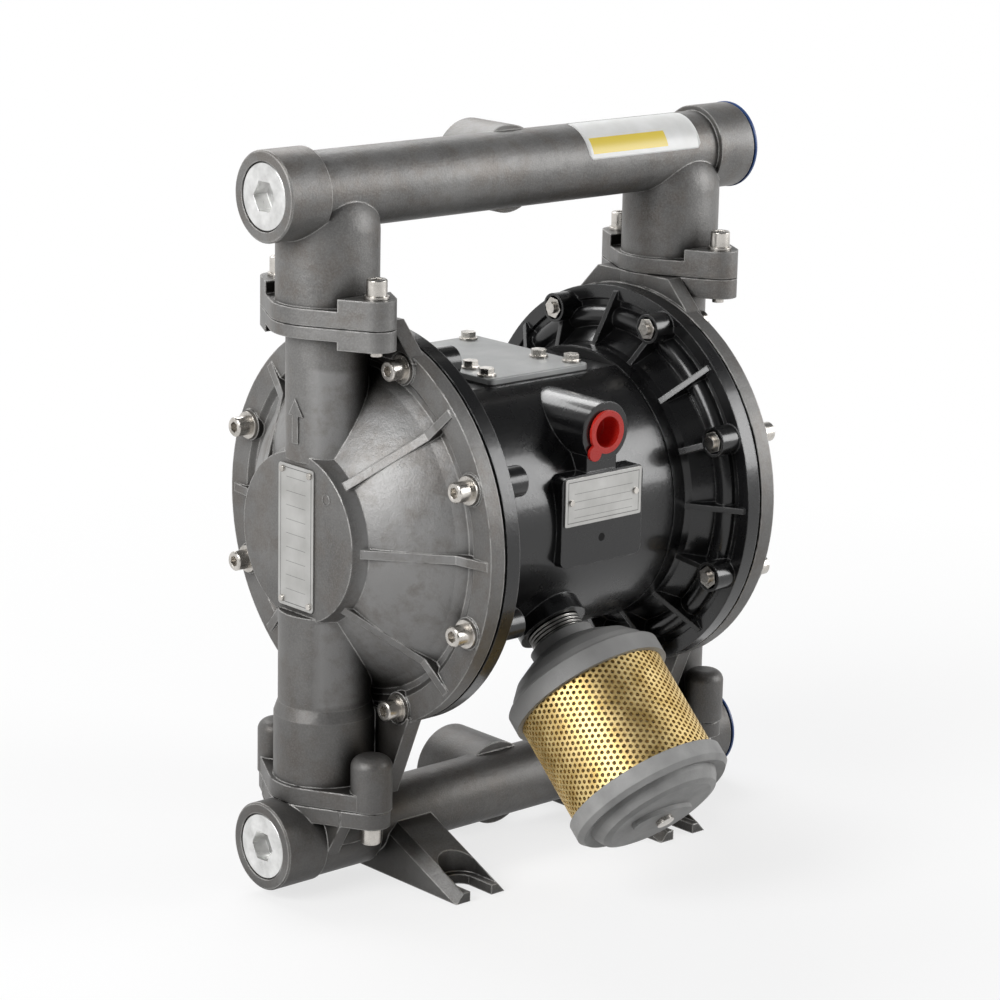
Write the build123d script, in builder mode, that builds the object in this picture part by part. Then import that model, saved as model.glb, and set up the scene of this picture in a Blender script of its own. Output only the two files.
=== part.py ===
"""Air operated double diaphragm pump, built from its separate castings, seals, valves and fasteners.

Frame: X runs along the diaphragm shaft, -Y is the front with the air inlet, +Z is up.
The origin is on the floor plane, at the centre of the four foot slots.
"""
import os
from math import cos, radians, sin, sqrt

from build123d import *

os.makedirs("parts", exist_ok=True)

# ------------------------------------------------------------------ driving dimensions, mm
# Where the main axes lie
inlet_height = 26.0
shaft_rise = 153.4
outlet_rise = 167.6
leg_inset = 27.5

# Fits and clearances
running_gap = 0.05
slip_gap = 0.3
flange_gap = 0.5
edge_break = 0.8

# Manifolds
port_overhang = 38.8
port_boss_radius = 22.0
port_boss_length = 24.0
outlet_pipe_radius = 19.2
inlet_pipe_radius = 17.4
passage_radius = 13.0
riser_radius = 12.0
leg_radius = 25.1
leg_flange_radius = 27.5
leg_flange_thickness = 8.0
outlet_ear_thickness = 14.0
ear_radius = 9.5
ear_spacing = 36.9
outlet_flange_drop = 61.0
inlet_flange_rise = 21.5
port_thread_radius = 16.6
port_tap_radius = 15.15
port_depth = 20.0
plug_clearance = 6.0
outlet_port_reach = 31.0
inlet_port_reach = 38.0

# Feet
foot_offset = 70.0
foot_width = 32.0
foot_reach = 69.0
foot_tip_height = 5.0
foot_slot_width = 14.0
foot_slot_depth = 16.0
foot_pocket_radius = 11.0

# Fluid covers
rim_radius = 100.0
cover_flange_thickness = 8.6
cover_depth = 45.3
hub_radius = 42.0
dome_inset = 23.0
dome_step = 1.7
hub_edge_drop = 8.5
trough_inset = 17.0
trough_depth = 2.6
cover_wall = 5.0
cover_rib_width = 4.5
upper_column_radius = 20.0
lower_column_radius = 23.0
ball_cage_radius = 19.0
cage_height = 47.0
cover_ear_thickness = 10.0
blind_boss_radius = 10.3
blind_boss_height = 27.0

# Diaphragms and shaft
diaphragm_rim_thickness = 1.7
diaphragm_thickness = 2.4
diaphragm_clamp_width = 23.0
convolution_depth = 7.0
plate_radius = 33.0
plate_thickness = 6.0
shaft_radius = 8.0
shaft_stroke = 11.0
stud_radius = 5.0
stud_length = 24.0
clamp_head_flats = 19.0
clamp_head_height = 6.0

# Air covers
air_rim_thickness = 8.0
air_rim_width = 7.0
air_cover_depth = 31.6
air_floor_thickness = 6.6
air_hole_radius = 40.0
housing_screw_inset = 6.0
air_floor_rim = 19.0
air_bulge_inset = 16.0
air_bulge_drop = 12.0
air_step_drop = 6.0
air_collar_height = 7.6
air_rib_count = 16
air_rib_width = 3.0

# Centre housing
housing_radius = 71.0
housing_half_length = 52.6
housing_wall = 8.0
spigot_length = 5.0
inlet_boss_rise = 48.0
inlet_boss_radius = 15.0
inlet_boss_proud = 4.0
inlet_bore_radius = 9.3
pad_width = 54.0
pad_height = 46.0
pad_rise = 5.1
pad_proud = 3.5

# Air valve
valve_plane_drop = 5.0
valve_front = 28.0
valve_back = 60.0
valve_half_width = 33.0
valve_cover_thickness = 3.0
gasket_thickness = 0.8
sleeve_radius = 15.0
sleeve_half_length = 40.0
sleeve_depth = 24.0
sleeve_behind = 26.0
spool_radius = 9.0
spool_half_length = 32.0
pilot_drop = 25.0
pilot_radius = 3.0
pilot_travel = 8.0
pilot_length = 29.6
pilot_gap = 0.8

# Check valves
ball_radius = 15.9
seat_radius = 18.5
seat_height = 8.0
seat_bore_radius = 12.0
seat_cone_depth = 2.5
ball_lift = 7.0

# Fasteners
bolt_radius = 3.0
bolt_clearance = 0.3
bolt_head_radius = 5.0
bolt_head_height = 8.0
bolt_pad_height = 1.0
washer_radius = 7.0
washer_thickness = 1.5
nut_flats = 10.0
nut_height = 5.0
rim_bolt_inset = 8.5
rim_bolt_count = 8
rim_boss_radius = 7.6
nut_pocket_radius = 6.2
nut_pocket_depth = 4.5
rim_boss_length = 15.0
bolt_end_length = 2.0

# Muffler, along its own axis from the shaft's axis
muffler_start = -14.3
muffler_pitch = 43.4
muffler_radius = 38.7
muffler_ring_radius = 41.6
muffler_ring_width = 10.2
muffler_mesh_length = 53.8
muffler_cap_length = 40.2
muffler_dome_radius = 32.6
muffler_dome_height = 6.2
muffler_sheet = 1.0
exhaust_boss_radius = 18.0
exhaust_boss_proud = 7.0
nipple_engagement = 18.0
nipple_radius = 11.0

# Plates and caps
name_plate_thickness = 0.8
front_plate_width = 51.0
front_plate_height = 24.0
side_plate_width = 27.0
side_plate_height = 71.0
rivet_radius = 1.6
cap_thickness = 1.6

# ------------------------------------------------------------------ sizes that follow
air_floor = housing_half_length + gasket_thickness
air_rim_joint = air_floor + air_cover_depth
rim_joint = air_rim_joint + diaphragm_rim_thickness
hub_face = rim_joint + cover_depth
leg_offset = rim_joint + leg_inset
manifold_half_length = leg_offset + port_overhang
shaft_height = inlet_height + shaft_rise
outlet_height = shaft_height + outlet_rise
inlet_joint = inlet_height + inlet_flange_rise
outlet_joint = outlet_height - outlet_flange_drop
cover_flange_face = rim_joint + cover_flange_thickness
dome_edge = cover_flange_face + dome_step
dome_hub_edge = hub_face - hub_edge_drop
dome_radius = rim_radius - dome_inset
trough_radius = rim_radius - trough_inset
diaphragm_clamp_radius = rim_radius - diaphragm_clamp_width
rim_bolt_ring_radius = rim_radius - rim_bolt_inset
rim_boss_face = air_rim_joint - rim_boss_length
bolt_tip = rim_boss_face - nut_height - bolt_end_length
shaft_half_length = rim_joint - diaphragm_thickness - slip_gap - plate_thickness
pilot_tip = shaft_half_length - shaft_stroke - pilot_gap
inlet_boss_reach = housing_radius + inlet_boss_proud
pad_reach = housing_radius + pad_proud
exhaust_boss_reach = housing_radius + exhaust_boss_proud
nipple_start = exhaust_boss_reach - nipple_engagement
muffler_mesh_start = exhaust_boss_reach + muffler_cap_length
valve_plane_rise = housing_radius - valve_plane_drop
plug_length = port_depth - plug_clearance
bolt_pad_face = cover_flange_face + bolt_pad_height
washer_face = bolt_pad_face + washer_thickness
valve_plane = shaft_height + valve_plane_rise
sleeve_height = valve_plane - sleeve_depth
bolt_hole_radius = bolt_radius + bolt_clearance
threaded_hole_radius = bolt_radius + running_gap
ball_rise = sqrt(ball_radius**2 - seat_bore_radius**2) - seat_cone_depth + running_gap
cage_stop = sqrt(ball_radius**2 - riser_radius**2)
ball_travel = ball_rise + ball_lift + slip_gap + cage_stop
lower_seat_top = inlet_joint - flange_gap / 2
upper_seat_top = outlet_joint - flange_gap / 2
rim_bolt_angles = [22.5 + 45 * step for step in range(rim_bolt_count)]
shaft_axis = Axis((0, 0, shaft_height), (1, 0, 0))
shaft_section = Plane(origin=(0, 0, shaft_height), x_dir=(1, 0, 0), z_dir=(0, -1, 0))
ears = [(0, -ear_spacing), (0, ear_spacing)]


def export(name, builder):
    """Label a finished piece and write it as its own file."""
    builder.part.label = name
    export_step(builder.part, f"parts/{name}.step")


def across(x):
    """Plane across the shaft at x, its normal along +X, with Z as its local Y."""
    return Plane(origin=(x, 0, shaft_height), x_dir=(0, 1, 0), z_dir=(1, 0, 0))


def shaft_turning(points):
    """Solid turned about the shaft from (x, radius) points."""
    with BuildPart() as turning:
        with BuildSketch(shaft_section):
            with BuildLine():
                Polyline(*points, close=True)
            make_face()
        revolve(axis=shaft_axis)
    return turning.part


def shaft_disc(start, end, radius, bore=0.0):
    """Disc or ring about the shaft between two x positions."""
    return shaft_turning([(start, bore), (end, bore), (end, radius), (start, radius)])


def upright(x, y, bottom, top, radius):
    """Upright round bar between two heights."""
    with BuildPart(Plane.XY.offset(bottom)) as bar:
        with Locations((x, y)):
            Cylinder(radius, top - bottom, align=(Align.CENTER, Align.CENTER, Align.MIN))
    return bar.part


def along_x(start, end, y, z, radius):
    """Round bar along X."""
    with BuildPart() as bar:
        with BuildSketch(Plane(origin=(start, y, z), x_dir=(0, 1, 0), z_dir=(1, 0, 0))):
            Circle(radius)
        extrude(amount=end - start)
    return bar.part


def along_y(start, end, x, z, radius):
    """Round bar along Y."""
    with BuildPart() as bar:
        with BuildSketch(Plane(origin=(x, start, z), x_dir=(-1, 0, 0), z_dir=(0, 1, 0))):
            Circle(radius)
        extrude(amount=end - start)
    return bar.part


def port_boss(start, end, height):
    """Port boss along X, with the edge of its mouth at end broken."""
    with BuildPart() as boss:
        add(along_x(start, end, 0, height, port_boss_radius))
        mouth = boss.edges().filter_by(GeomType.CIRCLE).sort_by(Axis.X)[-1 if end > start else 0]
        chamfer(mouth, edge_break)
    return boss.part


def rear_port_boss(reach, height):
    """Port boss from a pipe's axis to the rear, with the edge of its mouth broken."""
    with BuildPart() as boss:
        add(along_y(0, reach, 0, height, port_boss_radius))
        chamfer(boss.edges().filter_by(GeomType.CIRCLE).sort_by(Axis.Y)[-1], edge_break)
    return boss.part


def flange_plate(x, bottom, top):
    """Flange round a leg: a round body drawn out to an ear at the front and at the back."""
    with BuildPart() as plate:
        with BuildSketch(Plane(origin=(x, 0, bottom))):
            Circle(leg_flange_radius)
            with Locations(*ears):
                Circle(ear_radius)
            make_hull()
        extrude(amount=top - bottom)
    return plate.part


def mirrored(builder):
    """The same piece on the other side of the pump."""
    with BuildPart() as other:
        mirror(builder.part, about=Plane.YZ)
    return other


# ------------------------------------------------------------------ outlet manifold
outlet_leg_base = outlet_joint + flange_gap / 2
outlet_cage_top = upper_seat_top + ball_travel

with BuildPart() as outlet_manifold:
    add(along_x(-manifold_half_length, manifold_half_length, 0, outlet_height, outlet_pipe_radius))
    for side in (-1, 1):
        end = side * manifold_half_length
        add(port_boss(end - side * port_boss_length, end, outlet_height))
    add(rear_port_boss(outlet_port_reach, outlet_height))
    for side in (-1, 1):
        x = side * leg_offset
        dome_base = outlet_height - outlet_pipe_radius
        add(upright(x, 0, outlet_leg_base, dome_base, leg_radius))
        with BuildSketch(Plane(origin=(x, 0, dome_base), x_dir=(1, 0, 0), z_dir=(0, -1, 0))):
            with BuildLine():
                EllipticalCenterArc((0, 0), leg_radius, 1.25 * outlet_pipe_radius, start_angle=0,
                                    arc_size=90)
                Polyline((0, 1.25 * outlet_pipe_radius), (0, 0), (leg_radius, 0))
            make_face()
        revolve(axis=Axis((x, 0, dome_base), (0, 0, 1)))
        add(flange_plate(x, outlet_leg_base, outlet_leg_base + leg_flange_thickness))
        with BuildSketch(Plane(origin=(x, 0, outlet_leg_base))):
            Circle(leg_flange_radius)
            with Locations(*ears):
                Circle(ear_radius)
            make_hull()
            Rectangle(4 * leg_radius, 2 * (ear_spacing - ear_radius), mode=Mode.SUBTRACT)
        extrude(amount=outlet_ear_thickness)
    add(along_x(-manifold_half_length, manifold_half_length, 0, outlet_height, passage_radius),
        mode=Mode.SUBTRACT)
    add(along_x(-manifold_half_length, -manifold_half_length + port_depth, 0, outlet_height,
                port_thread_radius + running_gap), mode=Mode.SUBTRACT)
    add(along_x(manifold_half_length - port_depth, manifold_half_length, 0, outlet_height,
                port_tap_radius), mode=Mode.SUBTRACT)
    add(along_y(0, outlet_port_reach, 0, outlet_height, passage_radius), mode=Mode.SUBTRACT)
    add(along_y(outlet_port_reach - port_depth, outlet_port_reach, 0, outlet_height,
                port_tap_radius), mode=Mode.SUBTRACT)
    for side in (-1, 1):
        x = side * leg_offset
        add(upright(x, 0, outlet_leg_base, outlet_cage_top, ball_cage_radius), mode=Mode.SUBTRACT)
        add(upright(x, 0, outlet_cage_top, outlet_height, riser_radius), mode=Mode.SUBTRACT)
        for ear_x, ear_y in ears:
            add(upright(x + ear_x, ear_y, outlet_leg_base, outlet_leg_base + outlet_ear_thickness,
                        bolt_hole_radius), mode=Mode.SUBTRACT)
export("outlet_manifold", outlet_manifold)

# ------------------------------------------------------------------ inlet manifold with its feet
inlet_leg_top = inlet_joint - flange_gap / 2
seat_floor = lower_seat_top - seat_height
elbow_radius = port_boss_radius - 1.0
web_thickness = 8.0
foot_ridge_height = inlet_height + 4.0
foot_ridge_reach = 12.0
foot_draft = 5.0
foot_slot_end = foot_reach - foot_slot_depth

with BuildPart() as foot:
    with BuildSketch(Plane.YZ):
        with BuildLine():
            Polyline((-foot_reach, 0), (foot_reach, 0), (foot_reach, foot_tip_height),
                     (foot_ridge_reach, foot_ridge_height),
                     (-foot_ridge_reach, foot_ridge_height),
                     (-foot_reach, foot_tip_height), close=True)
        make_face()
    extrude(amount=foot_width / 2, both=True)
    sloping = foot.edges().filter_by(GeomType.LINE).filter_by(
        lambda edge: abs(edge.center().X) > foot_width / 2 - 0.01
        and edge.center().Z > foot_tip_height + 0.01)
    chamfer(sloping, foot_draft)

with BuildPart() as inlet_manifold:
    add(along_x(-manifold_half_length, manifold_half_length, 0, inlet_height, inlet_pipe_radius))
    for side in (-1, 1):
        end = side * manifold_half_length
        x = side * leg_offset
        add(port_boss(end - side * port_boss_length, end, inlet_height))
        add(along_x(side * (leg_offset - elbow_radius), end - side * port_boss_length, 0,
                    inlet_height, elbow_radius))
        add(upright(x, 0, inlet_height, inlet_leg_top, leg_radius - 1.0))
        add(flange_plate(x, inlet_leg_top - leg_flange_thickness, inlet_leg_top))
        with BuildSketch(Plane(origin=(side * (manifold_half_length - port_boss_length), 0, 0),
                               x_dir=(0, -side, 0), z_dir=(-side, 0, 0))):
            with Locations((0, inlet_height)):
                Circle(elbow_radius - 1.0)
            with Locations((0, inlet_leg_top - leg_flange_thickness / 2)):
                Rectangle(2 * (ear_spacing - 6.0), leg_flange_thickness)
            make_hull()
        extrude(amount=web_thickness)
    add(rear_port_boss(inlet_port_reach, inlet_height))
    for side in (-1, 1):
        with Locations((side * foot_offset, 0, 0)):
            add(foot.part)
    for side in (-1, 1):
        for front in (-1, 1):
            x = side * foot_offset
            tip = front * foot_reach
            with BuildSketch(Plane(origin=(x, front * foot_slot_end, foot_tip_height))):
                Circle(foot_pocket_radius)
                with Locations((0, front * foot_slot_depth / 2)):
                    Rectangle(2 * foot_pocket_radius, foot_slot_depth + 2.0)
            extrude(amount=inlet_height, mode=Mode.SUBTRACT)
            with BuildSketch(Plane(origin=(x, front * foot_slot_end, 0))):
                Circle(foot_slot_width / 2)
                with Locations((0, front * foot_slot_depth / 2)):
                    Rectangle(foot_slot_width, foot_slot_depth + 2.0)
            extrude(amount=inlet_height, mode=Mode.SUBTRACT)
    add(along_x(-manifold_half_length, manifold_half_length, 0, inlet_height, passage_radius),
        mode=Mode.SUBTRACT)
    add(along_x(-manifold_half_length, -manifold_half_length + port_depth, 0, inlet_height,
                port_thread_radius + running_gap), mode=Mode.SUBTRACT)
    add(along_x(manifold_half_length - port_depth, manifold_half_length, 0, inlet_height,
                port_tap_radius), mode=Mode.SUBTRACT)
    add(along_y(0, inlet_port_reach, 0, inlet_height, passage_radius), mode=Mode.SUBTRACT)
    add(along_y(inlet_port_reach - port_depth, inlet_port_reach, 0, inlet_height,
                port_tap_radius), mode=Mode.SUBTRACT)
    for side in (-1, 1):
        x = side * leg_offset
        add(upright(x, 0, inlet_leg_top, inlet_leg_top + 2.0, leg_flange_radius + edge_break),
            mode=Mode.SUBTRACT)
        add(upright(x, 0, inlet_height, inlet_leg_top, riser_radius), mode=Mode.SUBTRACT)
        add(upright(x, 0, seat_floor, inlet_leg_top, seat_radius + running_gap),
            mode=Mode.SUBTRACT)
        for ear_x, ear_y in ears:
            add(upright(x + ear_x, ear_y, inlet_leg_top - leg_flange_thickness - 2.0,
                        inlet_leg_top, bolt_hole_radius), mode=Mode.SUBTRACT)
export("inlet_manifold", inlet_manifold)

# ------------------------------------------------------------------ fluid covers
cover_bottom = inlet_joint + flange_gap / 2
cover_top = outlet_joint - flange_gap / 2
cage_top = lower_seat_top + ball_travel
column_end = hub_radius - 4.0
rib_angles = [45, 90, 135, 225, 270, 315]
neck_half_width = 26.0
neck_root_half_width = 44.0
neck_root_rise = 88.0
neck_thickness = 9.0
chamber_depth = hub_face - 11.0
ear_plate_thickness = 6.0
lower_flange_thickness = 8.5

with BuildPart() as left_fluid_cover:
    with BuildSketch(shaft_section):
        with BuildLine():
            Polyline((-rim_joint, 0), (-rim_joint, rim_radius), (-cover_flange_face, rim_radius),
                     (-cover_flange_face, trough_radius + 4.5),
                     (-cover_flange_face + trough_depth, trough_radius + 1.5),
                     (-cover_flange_face + trough_depth, trough_radius - 1.5),
                     (-dome_edge, dome_radius))
            ThreePointArc((-dome_edge, dome_radius),
                          (-(dome_edge + dome_hub_edge) / 2 - 1.5,
                           (dome_radius + hub_radius) / 2 + 2.5),
                          (-dome_hub_edge, hub_radius + 2.5))
            Polyline((-dome_hub_edge, hub_radius + 2.5), (-hub_face, hub_radius),
                     (-hub_face, 0), (-rim_joint, 0))
        make_face()
    revolve(axis=shaft_axis)
    for angle in rib_angles:
        rib_plane = Plane(origin=(0, 0, shaft_height), x_dir=(1, 0, 0),
                          z_dir=(0, -sin(radians(angle + 90)), cos(radians(angle + 90))))
        with BuildSketch(rib_plane):
            with BuildLine():
                Polyline((-rim_joint - 3.0, hub_radius - 4.0), (-hub_face + 4.0, hub_radius - 4.0),
                         (-hub_face + 4.0, hub_radius + 1.0),
                         (-cover_flange_face - 3.2, dome_radius + 1.5),
                         (-cover_flange_face - 0.4, rim_radius - 2.5),
                         (-rim_joint - 3.0, rim_radius - 2.5), close=True)
            make_face()
        extrude(amount=cover_rib_width / 2, both=True)
    add(upright(-leg_offset, 0, shaft_height + column_end, cover_top, upper_column_radius))
    lower_column_length = shaft_height - column_end - cover_bottom
    with BuildSketch(Plane(origin=(-leg_offset, 0, cover_bottom), x_dir=(1, 0, 0),
                           z_dir=(0, -1, 0))):
        with BuildLine():
            Polyline((0, 0), (leg_radius, 0), (leg_radius, cage_height - 6.0),
                     (lower_column_radius, cage_height),
                     (lower_column_radius, lower_column_length), (0, lower_column_length),
                     close=True)
        make_face()
    revolve(axis=Axis((-leg_offset, 0, cover_bottom), (0, 0, 1)))
    add(flange_plate(-leg_offset, cover_top - ear_plate_thickness, cover_top))
    with BuildSketch(Plane(origin=(-leg_offset, 0, cover_top - cover_ear_thickness))):
        Circle(leg_flange_radius)
        with Locations(*ears):
            Circle(ear_radius)
        make_hull()
        Rectangle(4 * leg_radius, 2 * (ear_spacing - ear_radius), mode=Mode.SUBTRACT)
    extrude(amount=cover_ear_thickness)
    add(flange_plate(-leg_offset, cover_bottom, cover_bottom + lower_flange_thickness))
    for ear_x, ear_y in ears:
        boss_top = cover_bottom + blind_boss_height
        add(upright(-leg_offset, ear_y, cover_bottom, boss_top, blind_boss_radius))
    dome_edges = left_fluid_cover.edges().filter_by(GeomType.CIRCLE).filter_by(
        lambda edge: abs(edge.arc_center.Z - boss_top) < 0.01
        and abs(edge.radius - blind_boss_radius) < 0.01)
    fillet(dome_edges, blind_boss_radius * 0.55)
    for neck_sign in (-1, 1):
        neck_edge = cover_top if neck_sign > 0 else cover_bottom
        with BuildSketch(Plane(origin=(-rim_joint - 1.5, 0, shaft_height), x_dir=(0, 1, 0),
                               z_dir=(1, 0, 0))):
            with BuildLine():
                Polyline((-neck_root_half_width, neck_sign * neck_root_rise),
                         (-neck_half_width, neck_edge - shaft_height),
                         (neck_half_width, neck_edge - shaft_height),
                         (neck_root_half_width, neck_sign * neck_root_rise), close=True)
            make_face()
        extrude(amount=-neck_thickness)
    for angle in rim_bolt_angles:
        with BuildSketch(across(-bolt_pad_face)):
            with Locations((rim_bolt_ring_radius * cos(radians(angle)),
                            rim_bolt_ring_radius * sin(radians(angle)))):
                Circle(washer_radius + 1.0)
        extrude(amount=bolt_pad_face - rim_joint - 2.0)
    with BuildSketch(shaft_section):
        with BuildLine():
            Polyline((-rim_joint, 0), (-rim_joint, diaphragm_clamp_radius),
                     (-rim_joint - 3.0, diaphragm_clamp_radius - 3.5))
            ThreePointArc((-rim_joint - 3.0, diaphragm_clamp_radius - 3.5),
                          (-(dome_edge + dome_hub_edge) / 2 + cover_wall,
                           (dome_radius + hub_radius) / 2 - 3.0),
                          (-chamber_depth + 2.0, hub_radius - 10.0))
            Polyline((-chamber_depth + 2.0, hub_radius - 10.0), (-chamber_depth, 0),
                     (-rim_joint, 0))
        make_face()
    revolve(axis=shaft_axis, mode=Mode.SUBTRACT)
    add(upright(-leg_offset, 0, cover_bottom, cage_top, ball_cage_radius), mode=Mode.SUBTRACT)
    add(upright(-leg_offset, 0, cage_top, shaft_height - hub_radius + 12.0, riser_radius),
        mode=Mode.SUBTRACT)
    add(upright(-leg_offset, 0, shaft_height + hub_radius - 12.0, cover_top, riser_radius),
        mode=Mode.SUBTRACT)
    add(upright(-leg_offset, 0, cover_top - seat_height, cover_top, seat_radius + running_gap),
        mode=Mode.SUBTRACT)
    for ear_x, ear_y in ears:
        add(upright(-leg_offset, ear_y, cover_top - cover_ear_thickness, cover_top,
                    threaded_hole_radius), mode=Mode.SUBTRACT)
        add(upright(-leg_offset, ear_y, cover_bottom, cover_bottom + 18.0,
                    threaded_hole_radius), mode=Mode.SUBTRACT)
    with BuildSketch(across(-bolt_pad_face)):
        with PolarLocations(rim_bolt_ring_radius, rim_bolt_count, rim_bolt_angles[0]):
            Circle(washer_radius + 1.0)
    extrude(amount=-bolt_head_height * 2, mode=Mode.SUBTRACT)
    with BuildSketch(across(-bolt_pad_face)):
        with PolarLocations(rim_bolt_ring_radius, rim_bolt_count, rim_bolt_angles[0]):
            Circle(bolt_hole_radius)
    extrude(amount=bolt_pad_face - rim_joint, mode=Mode.SUBTRACT)
export("left_fluid_cover", left_fluid_cover)
right_fluid_cover = mirrored(left_fluid_cover)
export("right_fluid_cover", right_fluid_cover)

# ------------------------------------------------------------------ air covers
air_floor_face = air_floor + air_floor_thickness
collar_face = air_floor + air_collar_height
bulge_radius = rim_radius - air_bulge_inset
bulge_face = air_rim_joint - air_bulge_drop
rim_step_face = air_rim_joint - air_step_drop
air_cavity_radius = housing_radius - air_floor_rim
housing_screw_circle = air_hole_radius + housing_screw_inset

with BuildPart() as left_air_cover:
    with BuildSketch(shaft_section):
        with BuildLine():
            Polyline((-air_rim_joint, 0), (-air_rim_joint, rim_radius),
                     (-air_rim_joint + air_rim_thickness, rim_radius),
                     (-air_rim_joint + air_rim_thickness, rim_radius - air_rim_width),
                     (-rim_step_face, rim_radius - air_rim_width - 1.0),
                     (-rim_step_face, bulge_radius + 5.0))
            ThreePointArc((-rim_step_face, bulge_radius + 5.0), (-bulge_face, bulge_radius),
                          (-rim_step_face + 3.0, bulge_radius - 5.5))
            Polyline((-rim_step_face + 3.0, bulge_radius - 5.5), (-collar_face - 4.0,
                     housing_radius + 1.0), (-collar_face, housing_radius),
                     (-air_floor, housing_radius), (-air_floor, 0), (-air_rim_joint, 0))
        make_face()
    revolve(axis=shaft_axis)
    for step in range(air_rib_count):
        angle = step * 360 / air_rib_count
        at_bolt = step % 2 == 1
        rib_end = rim_bolt_ring_radius - rim_boss_radius + 0.5 if at_bolt else rim_radius - 2.5
        rib_plane = Plane(origin=(0, 0, shaft_height), x_dir=(1, 0, 0),
                          z_dir=(0, -sin(radians(angle + 90)), cos(radians(angle + 90))))
        slope = (rim_boss_face + 6.0 - collar_face) / (rim_radius - 2.5 - housing_radius)
        rib_drop = collar_face + slope * (rib_end - housing_radius)
        with BuildSketch(rib_plane):
            with BuildLine():
                Polyline((-air_rim_joint + 2.0, housing_radius - 2.0),
                         (-collar_face, housing_radius - 2.0), (-collar_face, housing_radius),
                         (-rib_drop, rib_end), (-air_rim_joint + 2.0, rib_end), close=True)
            make_face()
        extrude(amount=air_rib_width / 2, both=True)
    with BuildSketch(across(-air_rim_joint + 1.0)):
        with PolarLocations(rim_bolt_ring_radius, rim_bolt_count, rim_bolt_angles[0]):
            Circle(rim_boss_radius)
    extrude(amount=air_rim_joint - 1.0 - rim_boss_face + nut_pocket_depth)
    with BuildSketch(shaft_section):
        with BuildLine():
            Polyline((-air_rim_joint, 0), (-air_rim_joint, diaphragm_clamp_radius),
                     (-air_rim_joint + 2.5, diaphragm_clamp_radius - 1.5))
            ThreePointArc((-air_rim_joint + 2.5, diaphragm_clamp_radius - 1.5),
                          (-air_floor_face - 4.5, housing_radius - 9.0),
                          (-air_floor_face, air_cavity_radius))
            Polyline((-air_floor_face, air_cavity_radius), (-air_floor_face, 0),
                     (-air_rim_joint, 0))
        make_face()
    revolve(axis=shaft_axis, mode=Mode.SUBTRACT)
    add(shaft_disc(-air_floor_face, -air_floor, air_hole_radius), mode=Mode.SUBTRACT)
    with BuildSketch(across(-air_rim_joint)):
        with PolarLocations(rim_bolt_ring_radius, rim_bolt_count, rim_bolt_angles[0]):
            Circle(bolt_hole_radius)
    extrude(amount=air_rim_joint - rim_boss_face + 1.0, mode=Mode.SUBTRACT)
    with BuildSketch(across(-rim_boss_face)):
        with PolarLocations(rim_bolt_ring_radius, rim_bolt_count, rim_bolt_angles[0]):
            Circle(nut_pocket_radius)
    extrude(amount=nut_pocket_depth + 1.0, mode=Mode.SUBTRACT)
    with BuildSketch(across(-air_floor_face)):
        with PolarLocations(housing_screw_circle, 6, 30):
            Circle(bolt_hole_radius)
    extrude(amount=air_floor_thickness, mode=Mode.SUBTRACT)
export("left_air_cover", left_air_cover)
right_air_cover = mirrored(left_air_cover)
export("right_air_cover", right_air_cover)

# ------------------------------------------------------------------ muffler's own frame
pitch = radians(muffler_pitch)
muffler_root = Vector(muffler_start, 0, shaft_height)
muffler_direction = Vector(0, -cos(pitch), -sin(pitch))
muffler_side = Vector(0, -sin(pitch), cos(pitch))
muffler_axis = Axis(muffler_root, muffler_direction)
muffler_square_side = (muffler_side - muffler_direction * muffler_side.dot(muffler_direction))
muffler_section = Plane(origin=muffler_root, x_dir=muffler_square_side.normalized(),
                        z_dir=muffler_square_side.normalized().cross(muffler_direction))


def muffler_turning(points):
    """Solid turned about the muffler's axis from (radius, distance) points."""
    with BuildPart() as turning:
        with BuildSketch(muffler_section):
            with BuildLine():
                Polyline(*points, close=True)
            make_face()
        revolve(axis=muffler_axis)
    return turning.part


def muffler_ring(start, end, radius, bore=0.0):
    """Disc or ring about the muffler's axis between two distances."""
    return muffler_turning([(bore, start), (radius, start), (radius, end), (bore, end)])


# ------------------------------------------------------------------ centre housing
bush_outer_radius = 11.0
bush_length = 18.0
seal_length = 4.0
spigot_face = housing_half_length + spigot_length
bush_start = spigot_face - bush_length
seal_start = bush_start - seal_length - slip_gap
chamber_half_length = housing_half_length - housing_wall
chamber_radius = housing_radius - housing_wall
chamber_ceiling = 12.0
shaft_tube_radius = 17.0
pocket_radius = sleeve_radius + running_gap
pilot_inner = pilot_tip - pilot_length

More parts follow.
